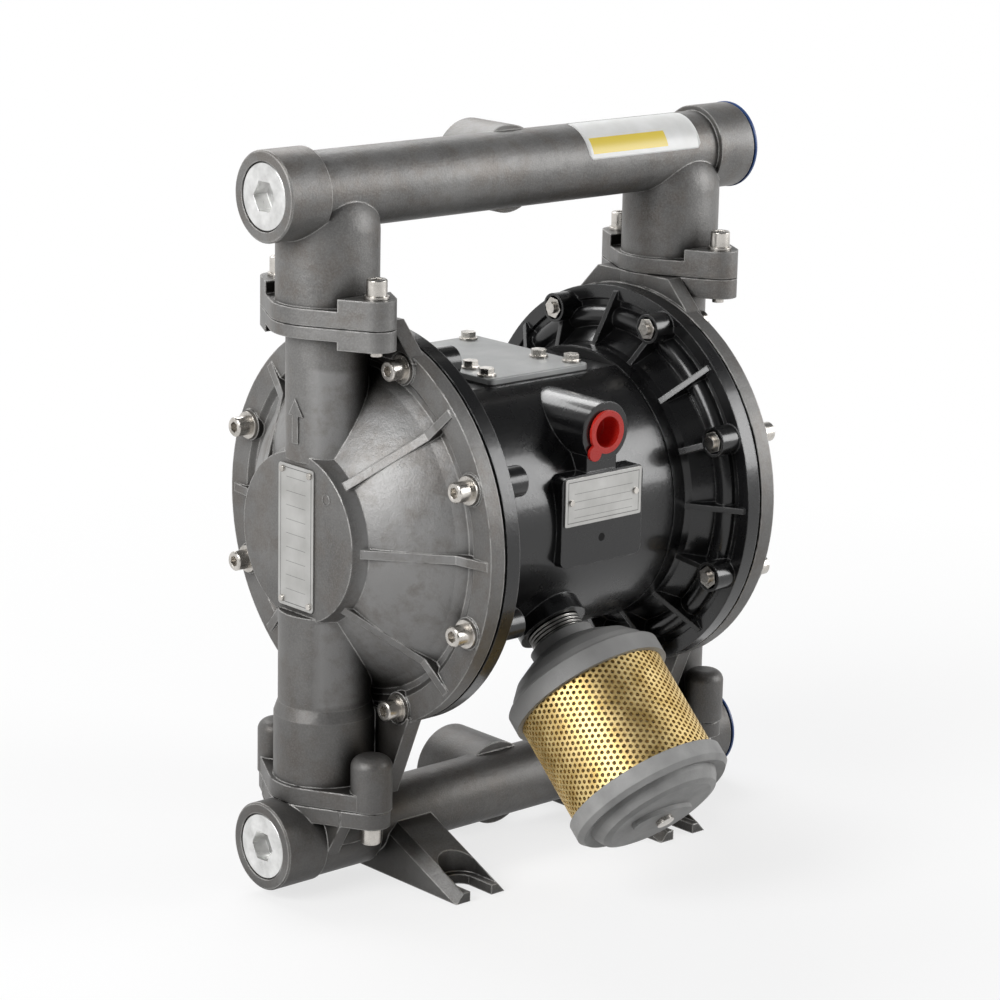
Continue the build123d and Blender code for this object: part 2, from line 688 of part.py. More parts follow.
with BuildPart() as centre_housing:
    add(shaft_disc(-housing_half_length, housing_half_length, housing_radius))
    with BuildSketch(Plane.XY.offset(valve_plane)):
        with Locations((0, (valve_back - valve_front) / 2)):
            RectangleRounded(2 * valve_half_width + 2.0, valve_front + valve_back, 4.0)
    extrude(amount=-(valve_plane_rise - 10.0))
    add(along_y(-inlet_boss_reach, -20.0, 0, shaft_height + inlet_boss_rise, inlet_boss_radius))
    with BuildSketch(Plane(origin=(0, -20.0, shaft_height), x_dir=(1, 0, 0), z_dir=(0, -1, 0))):
        with Locations((0, (inlet_boss_rise + pad_rise) / 2)):
            Rectangle(inlet_boss_radius * 1.3, inlet_boss_rise - pad_rise)
    extrude(amount=inlet_boss_reach - 22.0)
    with BuildSketch(Plane(origin=(0, -40.0, shaft_height), x_dir=(1, 0, 0), z_dir=(0, -1, 0))):
        with Locations((0, pad_rise)):
            RectangleRounded(pad_width, pad_height, 4.0)
    extrude(amount=pad_reach - 40.0)
    with BuildSketch(Plane(origin=(0, valve_back / 2, valve_plane))):
        Rectangle(2 * housing_half_length, valve_front + valve_back + 60.0)
    extrude(amount=20.0, mode=Mode.SUBTRACT)
    add(muffler_ring(40.0, exhaust_boss_reach, exhaust_boss_radius))
    for side in (-1, 1):
        add(shaft_disc(*sorted((side * housing_half_length, side * spigot_face)),
                       air_hole_radius - slip_gap))
    with BuildPart(mode=Mode.PRIVATE) as exhaust_chamber:
        add(shaft_disc(-chamber_half_length, chamber_half_length, chamber_radius))
        add(shaft_disc(-chamber_half_length, chamber_half_length, shaft_tube_radius),
            mode=Mode.SUBTRACT)
        split(bisect_by=Plane.XY.offset(shaft_height + chamber_ceiling), keep=Keep.BOTTOM)
    add(exhaust_chamber.part, mode=Mode.SUBTRACT)
    add(muffler_ring(shaft_tube_radius + 6.0, exhaust_boss_reach, nipple_radius + running_gap),
        mode=Mode.SUBTRACT)
    add(along_y(-inlet_boss_reach, -20.0, 0, shaft_height + inlet_boss_rise, inlet_bore_radius),
        mode=Mode.SUBTRACT)
    add(shaft_disc(-spigot_face, spigot_face, shaft_radius + slip_gap), mode=Mode.SUBTRACT)
    for side in (-1, 1):
        add(shaft_disc(*sorted((side * seal_start, side * spigot_face)),
                       bush_outer_radius + running_gap), mode=Mode.SUBTRACT)
        pilot_start, pilot_end = sorted((side * (pilot_inner - pilot_travel - 2.0), side * spigot_face))
        add(along_x(pilot_start, pilot_end, 0, shaft_height - pilot_drop,
                    pilot_radius + running_gap), mode=Mode.SUBTRACT)
    add(along_x(-sleeve_half_length - slip_gap, sleeve_half_length + slip_gap, sleeve_behind,
                sleeve_height, pocket_radius), mode=Mode.SUBTRACT)
    with BuildSketch(Plane(origin=(0, sleeve_behind, sleeve_height))):
        Rectangle(2 * (sleeve_half_length - 14.0), 2 * sleeve_radius - 8.0)
    extrude(amount=sleeve_depth, mode=Mode.SUBTRACT)
    for side in (-1, 1):
        with BuildSketch(across(side * spigot_face)):
            with PolarLocations(housing_screw_circle, 6, 30):
                Circle(threaded_hole_radius)
        extrude(amount=-side * 14.0, mode=Mode.SUBTRACT)
    valve_screw_spots = [(side * x, y) for side in (-1, 1)
                         for x, y in ((23.0, 53.7), (23.0, -0.6), (28.5, -19.0))]
    with BuildSketch(Plane.XY.offset(valve_plane)):
        with Locations(*valve_screw_spots):
            Circle(2.0 + running_gap)
    extrude(amount=-9.0, mode=Mode.SUBTRACT)
export("centre_housing", centre_housing)

# ------------------------------------------------------------------ gaskets between housing and covers
with BuildPart() as housing_gaskets:
    for side in (-1, 1):
        add(shaft_disc(*sorted((side * air_floor, side * housing_half_length)),
                       housing_radius - 0.6, air_hole_radius))
    with BuildSketch(across(-air_floor)):
        with PolarLocations(housing_screw_circle, 6, 30):
            Circle(bolt_hole_radius)
    extrude(amount=2 * air_floor, mode=Mode.SUBTRACT)
export("housing_gaskets", housing_gaskets)


def screw_along_x(face, tip, y, z, radius=bolt_radius):
    """Cap screw whose head stands on face (away from tip), with its hexagon socket."""
    outward = 1 if face > tip else -1
    head_end = face + outward * bolt_head_height * 0.6
    with BuildPart() as screw:
        add(along_x(*sorted((tip, face)), y, z, radius))
        add(along_x(*sorted((face, head_end)), y, z, bolt_head_radius))
        with BuildSketch(Plane(origin=(head_end, y, z), x_dir=(0, 1, 0), z_dir=(outward, 0, 0))):
            RegularPolygon(2.5, 6, major_radius=False)
        extrude(amount=-3.0, mode=Mode.SUBTRACT)
    return screw.part


with BuildPart() as housing_screws:
    for side in (-1, 1):
        for step in range(6):
            spot = radians(30 + 60 * step)
            add(screw_along_x(side * air_floor_face, side * (housing_half_length - 8.0),
                              housing_screw_circle * cos(spot),
                              shaft_height + housing_screw_circle * sin(spot)))
export("housing_screws", housing_screws)

# ------------------------------------------------------------------ air valve
with BuildPart() as valve_gasket:
    with BuildSketch(Plane.XY.offset(valve_plane)):
        with Locations((0, (valve_back - valve_front) / 2)):
            RectangleRounded(2 * valve_half_width, valve_front + valve_back - 1.0, 3.0)
        with Locations(*valve_screw_spots):
            Circle(2.3, mode=Mode.SUBTRACT)
    extrude(amount=gasket_thickness)
export("valve_gasket", valve_gasket)

cover_base = valve_plane + gasket_thickness
with BuildPart() as valve_cover:
    with BuildSketch(Plane.XY.offset(cover_base)):
        with Locations((0, (valve_back - valve_front) / 2)):
            RectangleRounded(2 * valve_half_width, valve_front + valve_back - 1.0, 3.0)
        with Locations(*valve_screw_spots):
            Circle(2.3, mode=Mode.SUBTRACT)
    extrude(amount=valve_cover_thickness)
    chamfer(valve_cover.faces().sort_by(Axis.Z)[-1].outer_wire().edges(), 0.5)
export("valve_cover", valve_cover)

flange_base = cover_base + valve_cover_thickness
with BuildPart() as valve_cover_screws:
    with BuildSketch(Plane.XY.offset(valve_plane - 8.0)):
        with Locations(*valve_screw_spots):
            Circle(2.0)
    extrude(amount=flange_base - valve_plane + 8.0)
    with BuildSketch(Plane.XY.offset(flange_base)):
        with Locations(*valve_screw_spots):
            Circle(4.8)
    extrude(amount=1.0)
    with BuildSketch(Plane.XY.offset(flange_base + 1.0)):
        with Locations(*valve_screw_spots):
            RegularPolygon(3.5, 6, major_radius=False)
    extrude(amount=3.0)
export("valve_cover_screws", valve_cover_screws)

with BuildPart() as valve_sleeve:
    add(along_x(-sleeve_half_length, sleeve_half_length, sleeve_behind, sleeve_height,
                sleeve_radius))
    add(along_x(-sleeve_half_length, sleeve_half_length, sleeve_behind, sleeve_height,
                spool_radius + running_gap), mode=Mode.SUBTRACT)
    for x in (-20.0, 0.0, 20.0):
        with BuildSketch(Plane(origin=(x, sleeve_behind, sleeve_height))):
            SlotOverall(14.0, 5.0, rotation=90)
        extrude(amount=sleeve_radius, both=True, mode=Mode.SUBTRACT)
export("valve_sleeve", valve_sleeve)

spool_waist_radius = spool_radius - 3.0
with BuildPart() as valve_spool:
    add(along_x(-spool_half_length, spool_half_length, sleeve_behind, sleeve_height,
                spool_waist_radius))
    for x in (-spool_half_length, -10.0, 4.0, spool_half_length - 6.0):
        add(along_x(x, x + 6.0, sleeve_behind, sleeve_height, spool_radius))
export("valve_spool", valve_spool)

with BuildPart() as left_pilot_pin:
    add(along_x(-pilot_tip, -pilot_inner, 0, shaft_height - pilot_drop, pilot_radius))
    chamfer(left_pilot_pin.edges().filter_by(GeomType.CIRCLE), 0.6)
export("left_pilot_pin", left_pilot_pin)
export("right_pilot_pin", mirrored(left_pilot_pin))

# ------------------------------------------------------------------ shaft, bushes, plates, diaphragms
with BuildPart() as shaft:
    add(shaft_disc(-shaft_half_length, shaft_half_length, shaft_radius))
    chamfer(shaft.edges().filter_by(GeomType.CIRCLE), 1.0)
    for side in (-1, 1):
        add(shaft_disc(*sorted((side * (shaft_half_length - stud_length + 6.0),
                                side * shaft_half_length)), stud_radius + running_gap),
            mode=Mode.SUBTRACT)
export("shaft", shaft)

with BuildPart() as shaft_bushes:
    for side in (-1, 1):
        add(shaft_disc(*sorted((side * spigot_face, side * bush_start)), bush_outer_radius,
                       shaft_radius + running_gap))
export("shaft_bushes", shaft_bushes)

with BuildPart() as shaft_seals:
    for side in (-1, 1):
        add(shaft_disc(*sorted((side * seal_start, side * (seal_start + seal_length))),
                       bush_outer_radius, shaft_radius + running_gap))
export("shaft_seals", shaft_seals)

inner_plate_face = shaft_half_length + plate_thickness
diaphragm_start = inner_plate_face + slip_gap
diaphragm_end = diaphragm_start + diaphragm_thickness
outer_plate_base = diaphragm_end + slip_gap
outer_plate_face = outer_plate_base + plate_thickness

with BuildPart() as left_inner_plate:
    add(shaft_turning([(-shaft_half_length, stud_radius + running_gap),
                       (-shaft_half_length, plate_radius - 8.0),
                       (-shaft_half_length - 2.5, plate_radius),
                       (-inner_plate_face + 1.0, plate_radius),
                       (-inner_plate_face, plate_radius - 1.0),
                       (-inner_plate_face, stud_radius + running_gap)]))
export("left_inner_plate", left_inner_plate)
export("right_inner_plate", mirrored(left_inner_plate))

with BuildPart() as left_outer_plate:
    add(shaft_turning([(-outer_plate_base, stud_radius + running_gap),
                       (-outer_plate_base, plate_radius - 1.0),
                       (-outer_plate_base - 1.0, plate_radius),
                       (-outer_plate_base - 2.5, plate_radius),
                       (-outer_plate_face, plate_radius - 13.0),
                       (-outer_plate_face, stud_radius + running_gap)]))
export("left_outer_plate", left_outer_plate)
export("right_outer_plate", mirrored(left_outer_plate))

with BuildPart() as left_clamp_screw:
    add(shaft_disc(-outer_plate_face, -shaft_half_length + stud_length - 8.0, stud_radius))
    with BuildSketch(across(-outer_plate_face)):
        RegularPolygon(clamp_head_flats / 2, 6, major_radius=False)
    extrude(amount=-clamp_head_height)
export("left_clamp_screw", left_clamp_screw)
export("right_clamp_screw", mirrored(left_clamp_screw))

fold_inner_radius = plate_radius + 5.0
fold_outer_radius = diaphragm_clamp_radius - 5.0
fold_middle_radius = (fold_inner_radius + fold_outer_radius) / 2
with BuildPart() as left_diaphragm:
    with BuildSketch(shaft_section):
        with BuildLine():
            Polyline((-air_rim_joint, rim_radius - 1.2), (-rim_joint, rim_radius - 1.2),
                     (-rim_joint, diaphragm_clamp_radius + 0.5),
                     (-diaphragm_end, fold_outer_radius))
            ThreePointArc((-diaphragm_end, fold_outer_radius),
                          (-diaphragm_end + convolution_depth, fold_middle_radius),
                          (-diaphragm_end, fold_inner_radius))
            Polyline((-diaphragm_end, fold_inner_radius), (-diaphragm_end, stud_radius + slip_gap),
                     (-diaphragm_start, stud_radius + slip_gap),
                     (-diaphragm_start, fold_inner_radius - 1.0))
            ThreePointArc((-diaphragm_start, fold_inner_radius - 1.0),
                          (-diaphragm_start + convolution_depth, fold_middle_radius),
                          (-diaphragm_start, fold_outer_radius + 1.0))
            Polyline((-diaphragm_start, fold_outer_radius + 1.0),
                     (-air_rim_joint, diaphragm_clamp_radius - 0.5),
                     (-air_rim_joint, rim_radius - 1.2))
        make_face()
    revolve(axis=shaft_axis)
    with BuildSketch(across(-rim_joint)):
        with PolarLocations(rim_bolt_ring_radius, rim_bolt_count, rim_bolt_angles[0]):
            Circle(bolt_hole_radius)
    extrude(amount=diaphragm_rim_thickness, mode=Mode.SUBTRACT)
export("left_diaphragm", left_diaphragm)
export("right_diaphragm", mirrored(left_diaphragm))

# ------------------------------------------------------------------ check valves
valve_tops = {"inlet": lower_seat_top, "outlet": upper_seat_top}
side_names = {-1: "left", 1: "right"}
for level, seat_top in valve_tops.items():
    for side, side_name in side_names.items():
        x = side * leg_offset
        with BuildPart() as seat:
            with BuildSketch(Plane(origin=(x, 0, seat_top), x_dir=(1, 0, 0), z_dir=(0, -1, 0))):
                with BuildLine():
                    Polyline((seat_bore_radius, -seat_height + running_gap),
                             (seat_radius, -seat_height + running_gap), (seat_radius, 0),
                             (seat_bore_radius + seat_cone_depth, 0),
                             (seat_bore_radius, -seat_cone_depth), close=True)
                make_face()
            revolve(axis=Axis((x, 0, seat_top), (0, 0, 1)))
        export(f"{level}_{side_name}_seat", seat)
        with BuildPart() as ball:
            with Locations((x, 0, seat_top + ball_rise)):
                Sphere(ball_radius)
        export(f"{level}_{side_name}_ball", ball)

# ------------------------------------------------------------------ rim bolts, washers and nuts
head_end = washer_face + bolt_head_height


def ring_spots(count_angles, radius):
    """Y and Z of fasteners spaced round the shaft."""
    return [(radius * cos(radians(angle)), shaft_height + radius * sin(radians(angle)))
            for angle in count_angles]


rim_spots = ring_spots(rim_bolt_angles, rim_bolt_ring_radius)
with BuildPart() as left_rim_bolts:
    for y, z in rim_spots:
        add(along_x(-washer_face, -bolt_tip, y, z, bolt_radius))
        add(along_x(-head_end, -washer_face, y, z, bolt_head_radius))
    with BuildSketch(across(-head_end)):
        with PolarLocations(rim_bolt_ring_radius, rim_bolt_count, rim_bolt_angles[0]):
            RegularPolygon(2.5, 6, major_radius=False)
    extrude(amount=4.0, mode=Mode.SUBTRACT)
    rims = left_rim_bolts.edges().filter_by(GeomType.CIRCLE).filter_by(
        lambda edge: abs(edge.radius - bolt_head_radius) < 0.01
        and abs(edge.center().X + head_end) < 0.01)
    chamfer(rims, 0.6)
export("left_rim_bolts", left_rim_bolts)
export("right_rim_bolts", mirrored(left_rim_bolts))

with BuildPart() as left_rim_washers:
    for y, z in rim_spots:
        add(along_x(-washer_face, -bolt_pad_face, y, z, washer_radius))
        add(along_x(-washer_face, -bolt_pad_face, y, z, threaded_hole_radius),
            mode=Mode.SUBTRACT)
export("left_rim_washers", left_rim_washers)
export("right_rim_washers", mirrored(left_rim_washers))

with BuildPart() as left_rim_nuts:
    with BuildSketch(across(-rim_boss_face)):
        with PolarLocations(rim_bolt_ring_radius, rim_bolt_count, rim_bolt_angles[0]):
            RegularPolygon(nut_flats / 2, 6, major_radius=False)
            Circle(threaded_hole_radius, mode=Mode.SUBTRACT)
    extrude(amount=nut_height)
export("left_rim_nuts", left_rim_nuts)
export("right_rim_nuts", mirrored(left_rim_nuts))

# ------------------------------------------------------------------ manifold bolts and washers


def upright_screw(x, y, face, tip):
    """Cap screw standing on face, with its shank down to tip, or the same turned over."""
    up = 1 if face > tip else -1
    head_top = face + up * bolt_head_height
    with BuildPart() as screw:
        add(upright(x, y, min(face, tip), max(face, tip), bolt_radius))
        add(upright(x, y, min(face, head_top), max(face, head_top), bolt_head_radius))
        with BuildSketch(Plane(origin=(x, y, head_top), z_dir=(0, 0, up))):
            RegularPolygon(2.5, 6, major_radius=False)
        extrude(amount=-4.0, mode=Mode.SUBTRACT)
        rim = screw.edges().filter_by(GeomType.CIRCLE).sort_by(Axis.Z)[-1 if up > 0 else 0]
        chamfer(rim, 0.6)
    return screw.part


leg_spots = [(side * leg_offset, y) for side in (-1, 1) for y in (-ear_spacing, ear_spacing)]
outlet_ear_face = outlet_leg_base + outlet_ear_thickness
inlet_ear_face = inlet_leg_top - leg_flange_thickness
with BuildPart() as outlet_manifold_bolts:
    for x, y in leg_spots:
        add(upright_screw(x, y, outlet_ear_face + washer_thickness,
                          cover_top - cover_ear_thickness - bolt_end_length - 1.0))
export("outlet_manifold_bolts", outlet_manifold_bolts)

with BuildPart() as inlet_manifold_bolts:
    for x, y in leg_spots:
        add(upright_screw(x, y, inlet_ear_face - washer_thickness, cover_bottom + 16.0))
export("inlet_manifold_bolts", inlet_manifold_bolts)

with BuildPart() as manifold_washers:
    for x, y in leg_spots:
        for bottom in (outlet_ear_face, inlet_ear_face - washer_thickness):
            add(upright(x, y, bottom, bottom + washer_thickness, bolt_head_radius + 1.0))
            add(upright(x, y, bottom, bottom + washer_thickness, threaded_hole_radius),
                mode=Mode.SUBTRACT)
export("manifold_washers", manifold_washers)

# ------------------------------------------------------------------ port plugs and caps
plug_socket = 7.0
for level, height in (("lower", inlet_height), ("upper", outlet_height)):
    with BuildPart() as port_plug:
        add(along_x(-manifold_half_length + 0.4, -manifold_half_length + plug_length, 0, height,
                    port_thread_radius))
        chamfer(port_plug.edges().filter_by(GeomType.CIRCLE), 0.8)
        with BuildSketch(Plane(origin=(-manifold_half_length + 0.4, 0, height),
                               x_dir=(0, -1, 0), z_dir=(-1, 0, 0))):
            RegularPolygon(plug_socket, 6, major_radius=False)
        extrude(amount=-8.0, mode=Mode.SUBTRACT)
    export(f"{level}_port_plug", port_plug)
    with BuildPart() as port_cap:
        cap_face = manifold_half_length + slip_gap
        add(along_x(cap_face, cap_face + cap_thickness, 0, height, port_boss_radius + 0.3))
        add(along_x(cap_face - 9.0, cap_face, 0, height, port_tap_radius - slip_gap))
        chamfer(port_cap.edges().filter_by(GeomType.CIRCLE).group_by(Axis.X)[-1], 0.5)
        add(along_x(cap_face - 9.0, cap_face, 0, height, port_tap_radius - slip_gap - 1.5),
            mode=Mode.SUBTRACT)
    export(f"{level}_port_cap", port_cap)

inlet_boss_height = shaft_height + inlet_boss_rise
cup_radius = inlet_bore_radius - slip_gap
cup_wall = 1.2
cup_depth = 11.0
cup_flange_radius = 10.8
tab_radius = 4.0
with BuildPart() as air_inlet_cap:
    cap_plane = -inlet_boss_reach - slip_gap
    with BuildSketch(Plane(origin=(0, cap_plane, inlet_boss_height), x_dir=(1, 0, 0),
                           z_dir=(0, -1, 0))):
        Circle(cup_flange_radius)
        with Locations((-cup_flange_radius * 0.72, -cup_flange_radius * 0.9)):
            Circle(tab_radius)
    extrude(amount=cap_thickness)
    add(along_y(cap_plane, cap_plane + cup_depth, 0, inlet_boss_height, cup_radius))
    add(along_y(cap_plane - cap_thickness, cap_plane + cup_depth - cup_wall, 0,
                inlet_boss_height, cup_radius - cup_wall), mode=Mode.SUBTRACT)
export("air_inlet_cap", air_inlet_cap)

# ------------------------------------------------------------------ name plates and rivets
front_plate_rise = pad_rise + (pad_height - front_plate_height) / 2 - 1.0
front_rivet_spots = [(side * (front_plate_width / 2 - 4.0), front_plate_rise)
                     for side in (-1, 1)]
with BuildPart() as front_name_plate:
    with BuildSketch(Plane(origin=(0, -pad_reach, shaft_height), x_dir=(1, 0, 0),
                           z_dir=(0, -1, 0))):
        with Locations((0, front_plate_rise)):
            RectangleRounded(front_plate_width, front_plate_height, 1.0)
    extrude(amount=name_plate_thickness)
export("front_name_plate", front_name_plate)

with BuildPart() as side_name_plate:
    with BuildSketch(Plane(origin=(-hub_face, 0, shaft_height), x_dir=(0, -1, 0),
                           z_dir=(-1, 0, 0))):
        RectangleRounded(side_plate_width, side_plate_height, 2.0)
    extrude(amount=name_plate_thickness)
export("side_name_plate", side_name_plate)

with BuildPart() as name_plate_rivets:
    with BuildSketch(Plane(origin=(0, -pad_reach - name_plate_thickness, shaft_height),
                           x_dir=(1, 0, 0), z_dir=(0, -1, 0))):
        with Locations(*front_rivet_spots):
            Circle(rivet_radius)
    extrude(amount=0.9)
    with BuildSketch(Plane(origin=(-hub_face - name_plate_thickness, 0, shaft_height),
                           x_dir=(0, -1, 0), z_dir=(-1, 0, 0))):
        with GridLocations(side_plate_width - 6.0, side_plate_height - 6.0, 2, 2):
            Circle(rivet_radius)
    extrude(amount=0.9)
export("name_plate_rivets", name_plate_rivets)

# ------------------------------------------------------------------ muffler
mesh_end = muffler_mesh_start + muffler_mesh_length
top_ring_start = muffler_mesh_start - muffler_ring_width
bottom_ring_end = mesh_end + muffler_ring_width
sheet_bore = muffler_radius - muffler_sheet
ring_bore = muffler_radius + running_gap
cap_neck_radius = 17.0
cap_neck_start = exhaust_boss_reach + 8.0
cap_throat = cap_neck_start + 12.0
cap_floor = top_ring_start + 5.0
sleeve_start = cap_floor + slip_gap
cap_base = mesh_end + 5.0
tie_radius = 2.5
dome_end = bottom_ring_end + muffler_dome_height
core_radius = muffler_radius - 6.0
core_bore = core_radius - 14.0

with BuildPart() as muffler_nipple:
    add(muffler_ring(nipple_start, cap_neck_start, nipple_radius, 7.5))
    add(muffler_ring(exhaust_boss_reach + slip_gap, cap_neck_start, nipple_radius + 3.0,
                     nipple_radius - 1.0))
    add(muffler_ring(cap_neck_start, cap_throat, nipple_radius - 1.0, 7.5))
export("muffler_nipple", muffler_nipple)

with BuildPart() as muffler_top_cap:
    add(muffler_turning([
        (nipple_radius - 1.0 + running_gap, cap_neck_start + running_gap),
        (cap_neck_radius, cap_neck_start + running_gap),
        (cap_neck_radius, cap_neck_start + 5.0), (cap_neck_radius + 6.0, cap_neck_start + 7.5),
        (muffler_ring_radius - 10.0, cap_neck_start + 12.5),
        (muffler_ring_radius - 5.0, cap_neck_start + 18.0),
        (muffler_ring_radius - 3.0, top_ring_start),
        (muffler_ring_radius - 1.0, top_ring_start), (muffler_ring_radius, top_ring_start + 1.0),
        (muffler_ring_radius, muffler_mesh_start), (ring_bore, muffler_mesh_start),
        (ring_bore, cap_floor), (core_bore - 3.0, cap_floor),
        (core_bore - 3.0, cap_throat), (nipple_radius - 1.0 + running_gap, cap_throat)]))
export("muffler_top_cap", muffler_top_cap)

with BuildPart() as muffler_sleeve:
    add(muffler_ring(sleeve_start, cap_base - slip_gap, muffler_radius, sheet_bore))
export("muffler_sleeve", muffler_sleeve)

with BuildPart() as muffler_core:
    add(muffler_ring(sleeve_start, cap_base - slip_gap, core_radius, core_bore))
export("muffler_core", muffler_core)

bar_plane = Plane(origin=muffler_root + muffler_direction * dome_end,
                  x_dir=muffler_square_side.cross(muffler_direction).normalized(),
                  z_dir=muffler_direction)
with BuildPart() as muffler_bottom_cap:
    add(muffler_turning([
        (tie_radius + running_gap, cap_base), (core_bore - 2.5, cap_base),
        (core_bore - 2.5, cap_base - 6.0), (core_bore - slip_gap, cap_base - 6.0),
        (core_bore - slip_gap, cap_base),
        (ring_bore, cap_base), (ring_bore, mesh_end), (muffler_ring_radius, mesh_end),
        (muffler_ring_radius, bottom_ring_end - 2.5), (muffler_ring_radius - 2.5, bottom_ring_end),
        (muffler_dome_radius + 2.0, bottom_ring_end - 1.5),
        (muffler_dome_radius + 1.0, bottom_ring_end + 1.0),
        (muffler_dome_radius - 1.5, dome_end - 1.2),
        (muffler_dome_radius - 5.0, dome_end), (tie_radius + running_gap, dome_end)]))
    with BuildSketch(bar_plane):
        Ellipse(19.0, 9.0)
        Circle(tie_radius + running_gap, mode=Mode.SUBTRACT)
    extrude(amount=2.4)
export("muffler_bottom_cap", muffler_bottom_cap)

with BuildPart() as muffler_tie_screw:
    add(muffler_ring(cap_floor + 4.0, dome_end + 2.4, tie_radius))
    add(muffler_ring(dome_end + 2.4, dome_end + 4.6, tie_radius + 2.0))
export("muffler_tie_screw", muffler_tie_screw)
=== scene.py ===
# %% [markdown]
# # Finishing an air operated diaphragm pump
# The pump's solids come ready made, each piece in its own node: castings, covers, screws, caps.
# What they lack is a skin. On the real pump the wetted castings are blasted aluminium, the
# air side is gloss black paint, the screws are stainless, and a brass coloured cage of
# perforated sheet wraps the exhaust muffler.
#
# The lesson goes from the studio to the finishes, one at a time, and then makes the few pieces
# that are easier to build here than in a solid modeller: the perforated sheet, a curved label,
# a raised arrow and a small cast ring.

import math

import bpy
from mathutils import Matrix, Vector


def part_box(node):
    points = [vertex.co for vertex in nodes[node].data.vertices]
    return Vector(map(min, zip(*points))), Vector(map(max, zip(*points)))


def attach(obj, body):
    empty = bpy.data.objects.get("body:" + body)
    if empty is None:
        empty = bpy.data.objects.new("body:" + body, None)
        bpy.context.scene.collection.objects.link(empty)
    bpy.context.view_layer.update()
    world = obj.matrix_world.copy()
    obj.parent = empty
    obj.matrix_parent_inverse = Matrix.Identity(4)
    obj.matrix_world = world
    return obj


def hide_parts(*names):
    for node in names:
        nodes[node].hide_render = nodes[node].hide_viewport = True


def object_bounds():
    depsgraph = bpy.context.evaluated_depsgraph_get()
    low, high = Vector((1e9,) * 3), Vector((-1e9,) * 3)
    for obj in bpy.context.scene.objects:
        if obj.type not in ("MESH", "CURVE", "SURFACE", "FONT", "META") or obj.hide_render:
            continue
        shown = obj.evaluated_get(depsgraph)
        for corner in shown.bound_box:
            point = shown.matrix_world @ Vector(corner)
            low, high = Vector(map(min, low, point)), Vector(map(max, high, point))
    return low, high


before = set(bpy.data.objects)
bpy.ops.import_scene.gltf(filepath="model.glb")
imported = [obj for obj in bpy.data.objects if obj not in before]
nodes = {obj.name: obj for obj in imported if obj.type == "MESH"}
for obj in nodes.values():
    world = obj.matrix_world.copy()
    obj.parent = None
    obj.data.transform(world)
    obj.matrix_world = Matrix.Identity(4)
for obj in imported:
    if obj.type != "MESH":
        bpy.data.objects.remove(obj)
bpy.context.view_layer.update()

# %% [markdown]
# Finishes and pieces have to know where things are. Asking the solids is safer than copying
# numbers by hand, because the answer follows the model when it changes. The middle of a plug's
# box, for example, is the middle of its port.

# %% Measure where the main axes lie


def middle(node):
    """Centre of a node's box."""
    low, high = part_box(node)
    return (low + high) / 2


shaft_height = middle("shaft").z
outlet_height = middle("upper_port_plug").z
inlet_height = middle("lower_port_plug").z
leg_x = middle("outlet_left_seat").x
mm = 0.001  # 5.0 * mm is five millimetres, in metres
print("shaft", round(shaft_height, 4), "outlet", round(outlet_height, 4),
      "inlet", round(inlet_height, 4), "left leg", round(leg_x, 4))

# %% [markdown]
# A catalogue picture is taken from well back and through a long lens, so that the pump's
# verticals stay nearly parallel. Three directions give the camera's turn: to its right, up, and
# back, away from the pump. Put side by side they are the columns of a rotation matrix.

# %% Set up the camera
camera_data = bpy.data.cameras.new("studio_camera")
camera_data.sensor_width = 36.0
camera_data.lens = 119.29
camera = bpy.data.objects.new("studio_camera", camera_data)
bpy.context.scene.collection.objects.link(camera)
camera_place = Vector((-1.09156, -1.21277, 0.59589))
right = Vector((0.74680, -0.66474, 0.02015))
up = Vector((0.15062, 0.19856, 0.96843))
back = Vector((-0.64777, -0.72019, 0.24841))
turn = Matrix((right, up, back)).transposed().to_4x4()
camera.matrix_world = Matrix.Translation(camera_place) @ turn
camera_data.clip_end = 50.0
bpy.context.scene.camera = camera
bpy.context.scene.view_settings.view_transform = "Standard"
print("camera stands", round(camera_place.length, 2), "m away")

# %% [markdown]
# A material in Blender is a graph of nodes, and sums on it are nodes too. Written as a chain of
# Math nodes, a sum like `1 - mask * 0.4` is hard to read. A small class can wrap an output and
# take over Python's own operators, so that the sum can be written as it is read, while the
# nodes are added behind it.

# %% A wire that Python can do sums with


class Wire:
    """One output of a node, ready for sums."""

    def __init__(self, recipe, socket):
        self.recipe, self.socket = recipe, socket

    def sum(self, operation, first, second):
        """Adds one Math node."""
        return self.recipe.node("Math", {"operation": operation}, {0: first, 1: second})

    def also(self, name):
        """Another output of the same node."""
        return Wire(self.recipe, self.socket.node.outputs[name])

    def __add__(self, other):
        return self.sum("ADD", self, other)

    def __sub__(self, other):
        return self.sum("SUBTRACT", self, other)

    def __rsub__(self, other):
        return self.sum("SUBTRACT", other, self)

    def __mul__(self, other):
        return self.sum("MULTIPLY", self, other)

    def __gt__(self, other):
        return self.sum("GREATER_THAN", self, other)

    def __lt__(self, other):
        return self.sum("LESS_THAN", self, other)

    def __abs__(self):
        return self.recipe.node("Math", {"operation": "ABSOLUTE"}, {0: self})

    __radd__ = __add__
    __rmul__ = __mul__


print("a wire has", sum(callable(step) for step in vars(Wire).values()), "methods")

# %% [markdown]
# The finishes of a pump are made of the same few ingredients: blotches, a blend between two
# limits, a mix of two colours, scratches, the ridges of a thread, and edges that have lost
# their sharpness. Each could be wired by hand in every material. Here each is a method of one
# recipe, so that a finish reads as a list of what is in it. `node` does the work for all of
# them, and sets a node's settings first, because some settings change which sockets it has.

# %% A recipe for a finish


